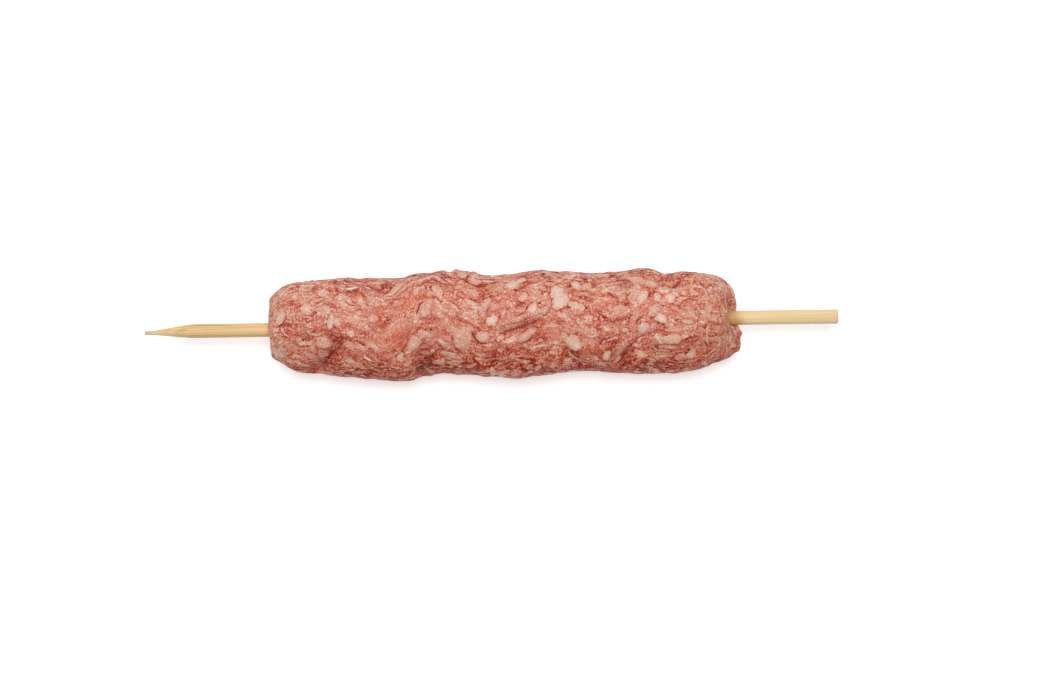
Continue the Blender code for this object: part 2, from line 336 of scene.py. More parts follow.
# Smaller swells, ragged bits of the outline, and the dents and nubs of the two end faces
RAGGED = rows(Swell, (
    (-52, 84, 7, 9, -0.5), (-30, 84, 5, 9, -0.6), (-7, 84, 4, 8, 0.65), (5, 84, 6, 9, -0.3),
    (29, 84, 4, 8, -0.35), (42.5, 84, 2.5, 8, -0.4), (55.5, 80, 4, 8, -0.55), (66.5, 84, 3, 8, 0.4),
    (-54, -84, 4, 8, 0.5), (-37, -84, 2, 6, 0.4), (-17.2, -84, 2.4, 7, 0.6), (-12.5, -84, 3.5, 8, -0.35),
    (-2, -84, 2.5, 7, 0.35), (7.5, -84, 3, 7, 0.4), (18, -84, 3, 7, 0.35), (27, -86, 3.5, 7, 0.45),
    (35, -84, 5, 7, 0.35), (49.5, -84, 3.5, 7, -0.3), (58.5, -84, 4, 7, 0.45), (73.5, -88, 3.5, 6, 0.9),
    (79.5, 0, 2.6, 80, -1.4), (-70.5, -84, 3.5, 6, 0.3), (-71.5, 70, 2.5, 8, -0.5), (-66.5, 84, 3, 6, -0.2),
    (-69, 84, 1.3, 6, 0.9), (-9.7, 84, 1, 1.6, 0.55, 20), (-4.5, 84, 0.8, 1.4, 0.3),
    (77.5, -100, 0.9, 1.2, 0.5), (76, -93, 1, 1.2, 0.55), (-67.5, 90, 1.4, 1.6, 0.3),
    (51.5, 88, 1.2, 2, 0.35), (-65.8, 88, 1.6, 6, 0.9), (-70.6, 82, 1.6, 6, -0.8), (-69, 84, 2.4, 6, -0.6),
    (-62.2, 88, 1, 6, -0.3), (-68.7, -88, 1.3, 5, -0.75), (-65.2, -88, 1.5, 5, 0.65),
    (-60.9, -88, 1.8, 6, -0.5), (75.3, -88, 1.2, 5, -0.6), (77.2, -92, 0.9, 3, 0.3), (72, -88, 1, 4, 0.35),
    (69.2, -88, 2, 5, 0.35), (64.5, -88, 1.5, 5, -0.3), (-11.6, 84, 0.9, 4, -0.5), (-16.5, 84, 2, 6, -0.35),
    (-37.3, 86, 2, 6, -0.3), (-25.2, 86, 2, 6, -0.3), (-41.5, -86, 3, 6, 0.25), (-22.8, -86, 1.6, 6, 0.3),
    (-18.3, -86, 1.2, 6, 0.4), (-14.8, -86, 1.5, 6, -0.25), (42.3, -86, 1.5, 6, 0.3),
    (52.7, -86, 1.5, 6, 0.35), (76.6, 50, 3.4, 3.6, -2), (74.8, -134, 1.1, 1.1, 0.9),
    (73.4, -108, 1, 1.3, -0.6),
))

# The folds between the swells, from the pointed end to the cut end, and then those below
VALLEYS = rows(Valley, (
    (((-41.5, -8), (-45, -32), (-49.5, -56), (-52, -84)), 2.4, 1.5),
    (((-40, 80), (-33, 58), (-27, 34), (-24, 14)), 2.6, 0.8),
    (((-18.5, -10), (-19.5, -32), (-20.2, -60), (-21, -92)), 2.2, 1.7),
    (((-0.5, -16), (6, -8), (12.5, 2), (17, 4)), 1.5, 1.2),
    (((45, -12), (41.5, -27), (38.6, -40), (36.5, -70)), 2.6, 1),
    (((46.5, 62), (49.5, 52), (52.7, 46), (55, 60), (59, 60)), 1.4, 1.1),
    (((20.5, -26), (23, -42), (27.6, -70)), 1.5, 0.9),
    (((-6, -42), (4, -52), (12, -50)), 1.6, 0.6),
    (((57, -30), (62, -42), (68, -40)), 1.6, 0.7),
    (((-52, 40), (-56, 20), (-58, -6)), 1.8, 0.5),
    (((-10, 150), (-14, 120), (-22, 98)), 2.4, 1.2),
    (((30, 150), (33, 122), (31, 96)), 2.4, 1.1),
    (((8, -150), (15, -122), (17, -98)), 2.4, 1.1),
    (((-46, 150), (-49, 124), (-46, 100)), 2.2, 1),
))

# The thickest pieces of fat
CHUNKS = rows(Chunk, (
    (-28.2, 41, 7.6, 2.8, 28), (-21, -23, 8, 3.4, 38), (-8.4, -16, 6.6, 5.8, 60), (-18.9, 18, 5.6, 3.6, 55),
    (-2.6, -17, 4, 3.4, 20), (7.2, 48, 6.6, 2.8, 22), (20, 28, 5.8, 5, -40), (25.5, 20, 5.4, 2.4, -12),
    (23.8, -26, 5.6, 4.6, -55), (10, -16, 7.8, 2.8, 24), (43.5, -8, 4, 4.2, 70), (48.6, 2, 4.4, 3, -15),
    (52.8, -22, 8.6, 3.4, 4), (41.5, 29, 4, 3.6, 40),
))

# The fat on the top: the larger pieces from the pointed end to the cut end, then smaller ones
TOP_FAT = rows(Fat, (
    (-59.9, 2.9, 2.6, 4, -28, 0.8), (-52.4, 5.3, 3.2, 2.9, 0, 0.75), (-47.7, 10, 3.2, 2, 0, 0.8),
    (-53.3, 12.3, 2.6, 1.4, 0, 0.6), (-55.7, 9, 1.9, 2.3, -20, 0.7), (-45.5, 1.4, 1.7, 4.6, -8, 0.85),
    (-53.5, -4.3, 2.6, 1.4, 20, 0.8), (-50.8, -5.5, 1.2, 1.2, 0, 0.8), (-55.8, -7.8, 2, 1.2, -10, 0.7),
    (-55.2, -9.9, 2, 0.9, -20, 0.8), (-51.6, -8.3, 2.9, 1.7, -15, 0.45), (-47.8, -8.4, 2.9, 1.4, -15, 0.45),
    (-47.6, -4.6, 4.6, 3, -15, 0.45), (-39.8, -2, 2, 2, 0, 0.75), (-42.6, 8.4, 3, 1.8, 10, 0.65),
    (-40.6, 7.7, 3.2, 1.3, -38, 0.8), (-36.5, 0.3, 2.9, 2.3, 0, 0.3), (-40.3, -9.8, 2.6, 1.5, -10, 0.75),
    (-40.4, -5.2, 4.4, 1.9, -18, 0.5), (-37.1, -5.8, 3.5, 1.7, -25, 0.55),
    (-37.7, -10.8, 2.9, 1.4, -15, 0.4), (-27.2, 10.3, 7.2, 2.7, 31, 0.6), (-18.5, 4.6, 3.5, 5.2, -20, 0.45),
    (-22, -5, 4.6, 3.3, 45, 0.5), (-18.7, -2.6, 4, 2, -22, 0.7), (-8.2, -4.1, 5.2, 7.5, -20, 0.35),
    (-6.2, -1.7, 2.6, 2.3, 10, 0.7), (-8.1, 13.2, 2.3, 1.4, 0, 0.7), (-4.3, 11.9, 3.5, 1.7, 0, 0.55),
    (-5.8, 6.1, 4, 1.2, -25, 0.9), (-15.1, 9.1, 2.4, 4, 30, 0.55), (-15, 6.6, 2.3, 1.7, 0, 0.6),
    (-25.9, -8.4, 2.3, 1.4, 35, 0.75), (-16.8, -7.6, 1.4, 0.9, 20, 0.9), (-15.4, -10.8, 3.2, 1.4, 0, 0.6),
    (-12.2, -8.3, 4.6, 1.2, -12, 0.7), (-10.3, -9.7, 3.5, 0.9, -10, 0.6), (-10.8, -11.2, 4.6, 1.4, 5, 0.5),
    (6, 10.7, 3.6, 2.6, 10, 0.85), (8.6, 11.6, 3.8, 1.6, 24, 0.85), (-1.4, 5.7, 4.3, 1.9, 45, 0.6),
    (0.4, 1, 3.5, 2.4, 28, 0.95), (-2.3, -3.8, 3.8, 3.2, 10, 0.62), (12.1, 4.1, 3, 2.2, 48, 0.95),
    (9.4, 7.1, 2.6, 2, 30, 0.7), (6.2, 3.9, 1.8, 1.4, 0, 0.45), (19.2, 8, 4, 3.3, -25, 0.92),
    (19.8, 5.6, 4.2, 3.3, 10, 0.92), (21.4, 6.3, 2.2, 3.8, -30, 0.88), (24.5, 4.6, 4.9, 1.8, -20, 0.8),
    (24.6, 10.3, 2.9, 2.2, -50, 0.9), (27.4, 10, 3.3, 2.1, 20, 0.55), (23.4, -6.1, 3.7, 4.6, 38, 0.74),
    (5.7, -4.7, 3.5, 1.5, 15, 0.75), (2.6, -4.1, 2.3, 1.3, 35, 0.75), (10, -3.4, 6.6, 2, 30, 0.5),
    (0.2, -13.1, 2, 1.7, -60, 0.8), (2.5, -13.6, 2.9, 1.7, -20, 0.75), (6.8, -13, 3.5, 1.4, 10, 0.5),
    (9.9, -10.6, 2.3, 1, 10, 0.8), (13.2, -12.2, 2.3, 1.4, 30, 0.7), (17.7, -11.8, 2.6, 1.2, 20, 0.7),
    (21.7, -11.2, 2.6, 1.5, 0, 0.6), (16.1, -14, 2.9, 0.9, 0, 0.6), (37.2, 7.6, 3, 3.2, 20, 0.3),
    (40.8, 7.2, 3.3, 3.8, -25, 0.38), (38.2, 12.3, 2.8, 0.9, 5, 0.6), (43.3, 6.5, 3.8, 2.5, 48, 0.92),
    (47.6, 6.4, 2.1, 2, 0, 0.78), (51.2, 6.3, 3.2, 1.8, 0, 0.95), (51.3, 5.4, 1.6, 1.6, 0, 0.95),
    (46.6, 3.1, 4.2, 2.5, 25, 0.55), (48.2, 0.5, 3.8, 2.5, -25, 1), (43.2, -2.2, 2.7, 3.6, -30, 0.75),
    (51.3, -5.3, 5.6, 2.6, 4, 0.72), (54.9, -4.6, 3.4, 1.3, 12, 0.55), (56, -0.6, 3.5, 1.3, -5, 0.75),
    (32.8, -9.7, 2, 2.8, -15, 0.95), (35.9, -11.2, 2.6, 1.3, 40, 0.75), (42.4, -9.5, 3.5, 1.5, -20, 0.7),
    (57.1, -9.8, 3.4, 2, 5, 0.75), (53.8, -10.2, 3.6, 1.6, 8, 0.5), (55, 7.6, 1.5, 1.4, 0, 0.8),
    (58.2, 7.5, 3.5, 1.5, -15, 0.6), (42, 11.4, 3.8, 1.8, -15, 0.55), (41.8, -14, 2.3, 1.2, 0, 0.75),
    (47, -13.9, 2, 1.2, -20, 0.7), (32.4, 13.2, 3, 0.7, 0, 0.6), (25.2, 12.2, 2.6, 0.8, -5, 0.75),
    (28.6, 12.1, 1.6, 0.8, -20, 0.7), (62, 2.2, 2, 4.6, 8, 0.4), (64.2, 5.8, 1.2, 4.4, -22, 0.45),
    (-47.4, 4.7, 3.6, 3.4, 0, 0.45), (-52.5, 7.6, 1.6, 0.8, 5, 0.7), (-51.2, 12.1, 1.4, 0.8, 0, 0.6),
    (-61.6, 4.4, 1.2, 3, -15, 0.55), (-43.8, 1.5, 2, 2.5, 0, 0.5), (-33.5, 2, 3, 2.2, 10, 0.5),
    (-41.8, -10.9, 2.4, 1, -15, 0.55), (-31.3, -10.7, 0.9, 0.6, 0, 1), (-53.2, -11.2, 1.9, 0.8, -15, 0.6),
    (-57.8, -9.4, 1.6, 1.2, 0, 0.6), (-17.4, 5.7, 2.2, 1.6, 60, 0.62), (-17.3, 13.9, 2.2, 0.8, 0, 0.6),
    (-23.2, 13.2, 2.2, 0.9, 20, 0.6), (-11.3, 13.1, 3, 0.9, -10, 0.55), (-0.6, 12.2, 2.6, 0.9, 0, 0.6),
    (1.9, 13.3, 2.8, 0.8, 0, 0.55), (-19, -6.7, 2, 1.4, 0, 0.45), (-18.7, -8.7, 2.4, 1, 10, 0.5),
    (-3.5, -9.9, 2.4, 0.9, -5, 0.62), (-5.1, -7.6, 0.9, 0.6, 30, 0.85), (-2.3, -8.7, 1.5, 1, 0, 0.45),
    (-9.4, -12.1, 1.6, 0.7, 0, 0.6), (-5.8, -11.8, 2.6, 1, 25, 0.6), (-23.6, -10.1, 3.2, 1, 40, 0.55),
    (-22.8, -13.2, 2.2, 1, 35, 0.5), (-18.2, -13.4, 2.4, 1, 0, 0.5), (-26.6, 6.6, 2.6, 1.4, 30, 0.45),
    (-10.9, 3.4, 2, 2, 0, 0.35), (16.3, 13.6, 3.4, 0.8, 0, 0.55), (21.7, 12.8, 2.2, 1, 0, 0.5),
    (20.2, 11.7, 1.4, 0.7, 0, 0.55), (17.7, 10.5, 2.6, 0.8, 10, 0.55), (12.9, 7.4, 2.8, 3, 0, 0.4),
    (14.8, 3.1, 3.6, 2.2, 20, 0.5), (5.6, 5.6, 1.6, 1, -40, 0.55), (8.3, 1.2, 4, 1.4, 30, 0.5),
    (21, -4, 1.5, 2.4, 20, 0.55), (19, -7.4, 2.6, 0.8, -5, 0.6), (14.1, -4.9, 1.2, 0.8, 0, 0.7),
    (2.5, -7.3, 1.6, 1.2, 0, 0.5), (17.8, -8.6, 4, 0.9, -8, 0.5), (14, -10.7, 2.2, 1, 10, 0.55),
    (18.8, -9.8, 1.8, 0.8, 0, 0.45), (10.6, -11.9, 2.2, 1.1, 0, 0.5), (31.4, -12.1, 3, 1.2, -10, 0.5),
    (27.3, -4.9, 1.8, 1, 0, 0.45), (31.9, -5.7, 1.2, 0.6, 40, 0.95), (41.3, -7.4, 2.2, 1.2, -20, 0.6),
    (63, 8.3, 1.6, 2.6, -35, 0.6), (37.8, 13.4, 3.4, 0.8, 12, 0.6), (45.9, 10, 3, 2.2, 0, 0.48),
    (49.2, 8.4, 4, 1.5, 0, 0.55), (57.7, 11.3, 1.8, 2.4, -30, 0.55), (60, 9.3, 1.6, 0.8, 0, 0.65),
    (63.2, 10.8, 2.4, 1.1, -25, 0.5), (60.8, 1.4, 2, 3, 0, 0.4), (54, 2.4, 1.8, 0.8, 0, 0.5),
    (52, -2.7, 5, 1.5, 5, 0.45), (50, -7.4, 4.2, 1, -3, 0.62), (45.3, -12.2, 2.4, 1, -5, 0.6),
    (46.2, -11.1, 2, 0.8, 0, 0.5), (41, -12, 1.8, 0.9, 0, 0.5),
))

# Cracks and the rims of flaps, each with its raised lip on the left as the line runs
TOP_CREASES = rows(Crease, (
    (((-41.4, -3.7), (-43.2, -6), (-45.6, -8.6), (-48.3, -11.3)), 0.35, 0.1, 0.8),
    (((-45.5, 8.6), (-47.8, 7.8), (-50, 6.4)), 0.35, 0.1, 0.6),
    (((-42, 9.8), (-39.6, 10), (-37, 10.8)), 0.4, 0.15, 0.8),
    (((-30.6, 8.6), (-27.8, 9), (-25, 11), (-24.2, 12)), 0.3, 0.1, 0.5),
    (((-34, 13), (-31.6, 11.8), (-29, 13)), 0.35, 0.1, 0.6),
    (((-29.8, 6.4), (-27, 7.4), (-24.4, 9)), 0.3, 0.1, 0.5),
    (((-21.2, 2.6), (-20.7, 4.2), (-20, 5.8), (-18.4, 6.9)), 0.4, 0.15, 0.9),
    (((-16.8, 7.6), (-15.4, 7.4), (-13.6, 5.8)), 0.35, 0.12, 0.8),
    (((-22.2, 9.5), (-19.1, 11.2), (-16.4, 12.2), (-14.3, 11.2), (-12.2, 10.1)), 0.25, 0.1, 0.45),
    (((-10.7, -7.1), (-9.3, -7.8), (-8, -9)), 0.35, 0.1, 0.6),
    (((-5.6, -1.6), (-5.2, -3), (-4.3, -4.6), (-2.8, -5.6), (-0.6, -5.7)), 0.5, 0.15, 1),
    (((-9, 12.4), (-5.4, 11.3), (-3.5, 10.7), (-1.8, 11.6)), 0.4, 0.12, 0.8),
    (((1.7, -3.4), (3.8, -2.7), (6.1, -2.1), (10, -0.6), (13, 0.4), (15.1, 0.3)), 0.4, 0.1, 0.7),
    (((8.7, -5.9), (10.9, -4.9), (13, -3.9)), 0.35, 0.1, 0.7),
    (((6.3, 1.5), (8.1, 2.2), (9.6, 3), (10.7, 4.5), (11.4, 5.4)), 0.25, 0.15, 0.6),
    (((12.9, 2.9), (15.4, 2), (17.2, 4), (17.5, 6.2)), 0.28, 0.12, 0.5),
    (((5.1, 6.6), (7.4, 9), (10.3, 10.4), (13, 11.8)), 0.3, 0.15, 0.5),
    (((21.6, 8.2), (23, 6), (25.8, 5.6)), 0.25, 0.1, 0.5),
    (((21.6, -8.2), (23.9, -10.6), (26.4, -12.4), (29.4, -13.4)), 0.3, 0.2, 0.5),
    (((48.6, 11.4), (51, 10.2), (52.4, 10.1), (53.3, 11.1), (54.3, 12.1), (56.1, 12.2)), 0.45, 0.2, 0.8),
    (((57.3, 11.8), (56.1, 10.2), (55.2, 9.6)), 0.2, 0.05, 0.5),
    (((30.3, -6.7), (31.4, -5.8), (32, -5.3)), 0.3, 0.05, 0.8),
    (((61.7, -11.5), (63.3, -10.1), (64.9, -9.3)), 0.35, 0.15, 0.7),
    (((67.8, -1), (68.8, -2.7), (69, -4.7), (68, -7)), 0.25, 0.1, 0.6),
    (((66.4, -1.5), (66.6, -3.5), (66.1, -5.8)), 0.15, 0.05, 0.4),
    (((67, 5.4), (67.4, 3.6), (67.6, 2.5)), 0.25, 0.05, 0.6),
    (((-44.9, -0.2), (-45.8, -1.3), (-47.2, -2.3)), 0.25, 0.1, 0.6),
    (((-49.6, 5), (-50.2, 3.6), (-50.6, 2.4)), 0.2, 0.05, 0.5),
    (((-30.1, 1.2), (-28.7, 2.3), (-26.9, 3.9)), 0.15, 0.05, 0.4),
    (((41.1, -1.4), (41.6, 0), (43.4, 1)), 0.4, 0.1, 0.9),
    (((45, 0.4), (46.3, 0.6), (47.7, 1.9)), 0.3, 0.1, 0.6),
    (((36.9, -12.7), (38.2, -8.7), (41, -6.4), (43.3, -4.1)), 0.35, 0.1, 0.5),
    (((33.7, 8.2), (35.5, 6.5)), 0.3, 0.1, 0.8),
    (((52.8, -7.2), (55.5, -5.6), (58, -5), (60, -5.4)), 0.35, 0.15, 0.6),
    (((61, -5.9), (62.1, -7.4), (63.4, -8.5)), 0.3, 0.1, 0.6),
    (((-58, 4.2), (-58.4, 2.5), (-59.5, 1.1), (-61.2, 0)), 0.3, 0.1, 0.7),
    (((38.6, 5), (38.8, 6.8), (40, 8.4)), 0.28, 0.1, 0.5),
    (((54, 5), (57, 5.8), (60, 5)), 0.3, 0.15, 0.5),
    (((-7, 4.6), (-3.6, 3.9), (-3, 1)), 0.2, 0.08, 0.35),
    (((-11.4, -1.4), (-10.6, -6.6), (-7.6, -8.2)), 0.25, 0.15, 0.45),
))

# Threads of sinew and the pale edges of flaps, whitened partly as painted glints
TOP_FILMS = rows(Film, (
    (((-41.6, 10.4), (-39.7, 10.7), (-37.4, 11.3)), 1),
    (((-37, 12.9), (-35.2, 12.7), (-34.3, 11.9)), 1),
    (((-36.7, -8.1), (-35.3, -9), (-33.9, -9.6)), 1.2),
    (((-60.8, 6.2), (-59.8, 9.6), (-57.5, 12.1), (-55.2, 12.8)), 0.65),
    (((-59.6, -0.2), (-58.2, -1.6), (-56.8, -2.6)), 0.6),
    (((-52.4, -1.1), (-51, -1.8), (-49, -2.2), (-47.8, -1.6)), 0.6),
    (((-49.7, 5.7), (-48.2, 6.6), (-46.8, 7.1)), 0.6),
    (((-38.2, 8), (-36.2, 6.4), (-34.4, 4.6), (-33.2, 3.6)), 0.5),
    (((-37.8, 7), (-36.4, 5.6), (-35.4, 4.4)), 0.5),
    (((-29.2, -6.1), (-27.9, -5.3), (-25.4, -3.4)), 0.5),
    (((-9.6, 9.6), (-9.9, 7.8), (-10.3, 6.4)), 0.5),
    (((-2.8, -5.8), (-0.2, -6.3)), 0.5),
    (((-4.4, 3.9), (-4.5, 0.5)), 0.3),
    (((-22.6, 10.1), (-19.1, 12), (-16.4, 12.9), (-14.3, 11.9), (-12, 10.6)), 0.6),
    (((21, -7), (22.6, -9.6), (26.4, -12.6), (29, -13.2)), 0.6),
    (((26.8, -3.2), (27.7, -4.1), (28.9, -4.3), (30.4, -3.5), (31.1, -2.2)), 0.6),
    (((30.9, 2), (31.5, 0.8), (32.2, -0.2)), 0.6),
    (((31.8, -5.6), (34.6, -5), (36.6, -4.4)), 0.6),
    (((-3.4, -13.4), (0.8, -12), (5.4, -12.3)), 0.4),
    (((3.6, -9.2), (7.4, -9), (10.2, -8.2)), 0.5),
    (((10.8, -7.7), (12.6, -6.6), (14.4, -6.2), (17.2, -6.6)), 0.7),
    (((32.8, 9), (34.2, 8.3), (35.3, 7.5)), 0.6),
    (((47.9, 8.9), (48.9, 7.9), (50.5, 8), (51.8, 8.9)), 0.7),
    (((47.7, -10.3), (49.7, -9.7)), 0.7),
    (((61.2, -5.4), (62, -7), (63.3, -8.4)), 0.7),
    (((67.5, -1.8), (68.2, -3.3), (68, -5), (66.5, -7.2)), 0.5),
    (((65.7, -1.1), (64.9, -3.4), (64.9, -6)), 0.4),
    (((68.7, -2.4), (69.8, -4), (70.8, -6.2)), 0.3),
    (((65.9, 4.3), (67.1, 2.8), (67.4, 1.3)), 0.8),
    (((63.4, 8.1), (65.4, 6.4), (66.1, 4.7)), 0.5),
    (((67, 7.9), (67.7, 6.5), (67.2, 4.6)), 0.6),
    (((61.4, -10.9), (62.9, -9.8), (64.6, -8.8)), 0.6),
    (((14.8, -1), (18.2, -1.2), (21, -0.8)), 0.5),
    (((-28, 6.9), (-25.8, 7.8)), 0.8),
    (((-30.6, -10.3), (-27, -11.2), (-24.6, -11.6)), 0.5),
    (((65.6, 4.6), (66.6, 1), (66.8, -2)), 0.5),
    (((64.2, -1.6), (65.6, -6), (64.8, -9)), 0.45),
    (((67.6, 9), (69, 6), (69.6, 3.6)), 0.6),
    (((66.4, 8.6), (67.8, 5.6), (68.2, 3)), 0.5),
    (((69, -3.4), (69.6, -6.4), (68, -9.4)), 0.6),
    (((67.4, -2.6), (68.2, -6), (66.6, -9.6)), 0.5),
    (((-59.4, 7.8), (-57.6, 10.4), (-54.6, 11.4)), 0.5),
    (((-36.6, 10), (-34.6, 8), (-33, 5.6)), 0.5),
    (((-35.2, 10.2), (-33.4, 8), (-32, 5.4)), 0.4),
    (((-43, -12.2), (-38.6, -12.6), (-34, -12.2)), 0.4),
    (((-30.8, -12.6), (-26.6, -13), (-23.6, -12.2)), 0.4),
    (((-14.6, -9.4), (-10.4, -10.6), (-6.6, -10.4)), 0.5),
    (((-3.6, -10.8), (1.6, -9.6), (5.6, -10.2)), 0.4),
    (((44.2, -6.6), (47.6, -8.4), (52, -8.2)), 0.5),
    (((48.4, -10.6), (52.8, -11.6), (56.8, -11.2)), 0.4),
    (((58.6, -1.6), (61.6, -3.6), (62.4, -6)), 0.5),
))

# Meat that is smeared smooth and red, coarse with pale grains, darkened by painted shade in the folds
# (or paler, where the amount is negative), and yellowish
RED_PATCHES = rows(Patch, (
    (-27.4, -3.6, 5.5, 3.4, 35, 1), (-24, 6.6, 3.8, 1.8, 30, 0.8), (-57, -1.6, 2.2, 1.5, 0, 0.7),
    (-13.4, -2, 3, 2, 0, 0.4), (17.6, -3, 3.4, 1.9, 10, 0.7), (24.4, 8.6, 1.8, 1.6, 0, 0.6),
    (8.6, 1.9, 2, 1.1, 30, 0.6), (3.6, 5.6, 1.7, 0.9, 50, 0.6), (44, 3.4, 2.6, 1.8, 60, 0.6),
    (50.6, 2, 4, 1, 12, 0.5), (-51, -12.6, 3.4, 0.9, 0, 0.5), (-33, 4, 3.2, 1.8, 20, 0.6),
))
COARSE_PATCHES = rows(Patch, (
    (-54.4, 2.2, 4.6, 4, 0, 0.9), (-32.4, 9.4, 3.6, 2.4, 0, 0.7), (-47, 3.2, 2.6, 2.4, 0, 0.5),
    (-24.6, -12, 5, 1.6, 0, 0.5), (43.6, 3.8, 3.6, 3.4, 30, 0.7), (60.4, 0.6, 4, 5, 0, 0.6),
    (13.6, 6, 2.2, 2, 0, 0.8), (37.6, -4.8, 4.2, 2, 10, 0.5), (52, 9.6, 4, 1.6, 0, 0.4),
))
# Painted shade in the folds and valleys, and paler spots where the amount is negative
SHADE_PATCHES = rows(Patch, (
    (-43.4, -6.2, 3.4, 1.6, 50, 0.8), (-47, -10.8, 3.8, 1.8, 35, 0.9), (-33, -12.4, 6, 1.6, -5, 0.6),
    (-18.6, -12.6, 3.4, 2.6, 50, 1), (-12.6, -12.2, 3.6, 1.1, 10, 0.6), (-19.8, -7.6, 2.2, 1.4, 60, 0.5),
    (-31.5, 12, 3.4, 1.4, 0, 0.45), (-35.5, 10, 1.6, 2.2, 0, 0.4), (1, -10.6, 3.4, 1.3, -20, 0.6),
    (9, -12.4, 4.4, 1, 5, 0.6), (9.6, -2, 4.4, 1, 28, 0.5), (28, -13.4, 3.8, 1.2, -15, 0.6),
    (37.6, -12, 2.2, 2, 60, 0.8), (39.6, -7.6, 2.6, 1.2, 50, 0.5), (50, -12.4, 5, 1, 0, 0.7),
    (48.6, 12, 3.4, 1.2, 0, 0.35), (61, -10.4, 3.6, 1.2, 20, 0.5), (68.6, 3.6, 1.1, 3.2, -10, 0.6),
    (63, -7, 1.8, 0.9, 30, 0.5), (-61.6, 1, 2.4, 8, 0, -0.45), (-53, -1.8, 2.8, 1.8, 0, 1.2),
    (-13.4, -6, 2.6, 1.3, -30, 1.3), (9.6, -6.6, 2.4, 1.2, 10, 0.9), (46, -7.4, 4.2, 1.5, 0, 1),
    (38.2, 10.4, 2.6, 1.6, 0, 1.2), (-1.8, 3.9, 2.4, 1.6, 0, 0.8), (-7.6, -13, 3, 1.4, 0, 0.9),
    (42.6, -13, 3.2, 1.4, 0, 0.9), (15.2, -13.2, 3, 1.4, 0, 0.8), (-54.6, -8.8, 2.8, 1.8, 0, -1),
    (-30.4, -12.6, 2.6, 1.4, 0, -0.9), (28, -7, 4.4, 2.2, 0, -0.6), (60.8, -13, 2.8, 1.6, 0, -0.9),
    (-13.2, 7.4, 2.6, 1.8, 0, -0.7), (50.8, 6.4, 4.4, 2.4, 0, -0.6), (32.3, 6.8, 2.6, 1.8, 0, -0.6),
    (3.9, 7.2, 2.4, 1.6, 0, -0.6), (-24.6, 7.6, 2.6, 1.8, 0, -0.5), (-47, 3.6, 4, 6, 0, 0.2),
))
YELLOW_PATCHES = rows(Patch, (
    (51.4, -5.6, 2, 1.1, 0, 0.95), (66, 1, 4.6, 9, 0, 0.55), (-62, 2.6, 1.6, 3, 0, 0.3),
))

# Which way the meat was dragged: strands follow lines that bend by these bumps, seen from above
FLOWS = rows(Patch, (
    (-31, 0, 7, 15, 0, -5), (-17, 2, 6.5, 15, 0, 4.5), (-5, 4, 5, 9, 0, -1.5), (12, -2, 8, 8, 0, 2.5),
    (33, -9, 6, 9, 0, -3.5), (46, -6, 6, 10, 0, 3.5), (44, 10, 5, 7, 0, -2),
))

# Crushed pepper on the top: x, y and size
TOP_PEPPER = ((-17.0, -1.1, 0.40), (15.2, 13.2, 0.50), (13.9, 5.3, 0.45), (27.2, 3.9, 0.38))


class Skin(NamedTuple):
    """The grid of the meat: distance along and share of the full girth by ring, angle by column."""

    along: np.ndarray
    share: np.ndarray
    around: np.ndarray


def smooth_step(value, low, high):
    """0 below low, 1 above high, and an even S-curve between them."""
    t = np.clip((value - low) / (high - low), 0, 1)
    return t * t * (3 - 2 * t)


def even_turn(sides):
    """The angles of a ring's points."""
    return 2 * math.pi * np.arange(sides) / sides


def lattice_noise(places, size, seed):
    """Random values between -1 and 1 at the corners of cubes of a size, blended by quintic curves."""
    table = np.random.default_rng(seed).uniform(-1, 1, (LATTICE_SIDE,) * 3)
    scaled = places / size
    cell = np.floor(scaled).astype(int)
    part = scaled - cell
    fade = part**3 * (part * (part * 6 - 15) + 10)
    total = np.zeros(places.shape[:-1])
    for corner in np.ndindex(2, 2, 2):
        weight = np.prod(np.where(corner, fade, 1 - fade), axis=-1)
        x, y, z = np.moveaxis((cell + corner) % LATTICE_SIDE, -1, 0)
        total += weight * table[x, y, z]
    return total


def layered_noise(places, layers, seed):
    """Lattice noise of several sizes, each times its amount and with the next seed, added up."""
    layers = enumerate(layers, seed)
    return sum(amount * lattice_noise(places, size, number) for number, (size, amount) in layers)


def bow(x):
    """How far the stick's axis lies from the straight line between its ends, towards +Y."""
    return STICK_BOW * np.sin(2 * math.pi * x / STICK_LENGTH)


def stick_radius(x):
    """The stick's radius away from its point, growing slightly towards the cut end."""
    return STICK_DIAMETER / 2 + STICK_GROWTH / 2 * x / STICK_LENGTH


def sway(x):
    """How far the middle of the meat lies from the stick's axis, towards +Y."""
    askew = LEFT_ASKEW * smooth_step(-x, -LEFT_ASKEW_START, -LEFT_ASKEW_END)
    return askew - MEAT_SWAY * np.sin(2 * math.pi * x / SWAY_LENGTH)


def meat_profile():
    """X, share of the full girth and distance along, finely stepped from pole to pole.

    Each end follows (1 - depth / shoulder) ** roundness + share ** flatness = 1, a flat face with
    a round shoulder, and the straight part joins them.
    """
    share = np.sin(np.linspace(0, math.pi / 2, PROFILE_STEPS))
    depth = SHOULDER_LENGTH * (1 - (1 - share**END_FLATNESS) ** (1 / END_ROUNDNESS))
    x = np.concatenate([MEAT_LEFT + depth, (MEAT_RIGHT - depth)[::-1]])
    share = np.concatenate([share, share[::-1]])
    step = np.hypot(np.diff(x), HALF_WIDTH * np.diff(share))
    along = np.concatenate([[0], np.cumsum(step)])
    along += np.interp(0, x, x - along)
    return x, share, along


PROFILE_X, PROFILE_SHARE, PROFILE_ALONG = meat_profile()


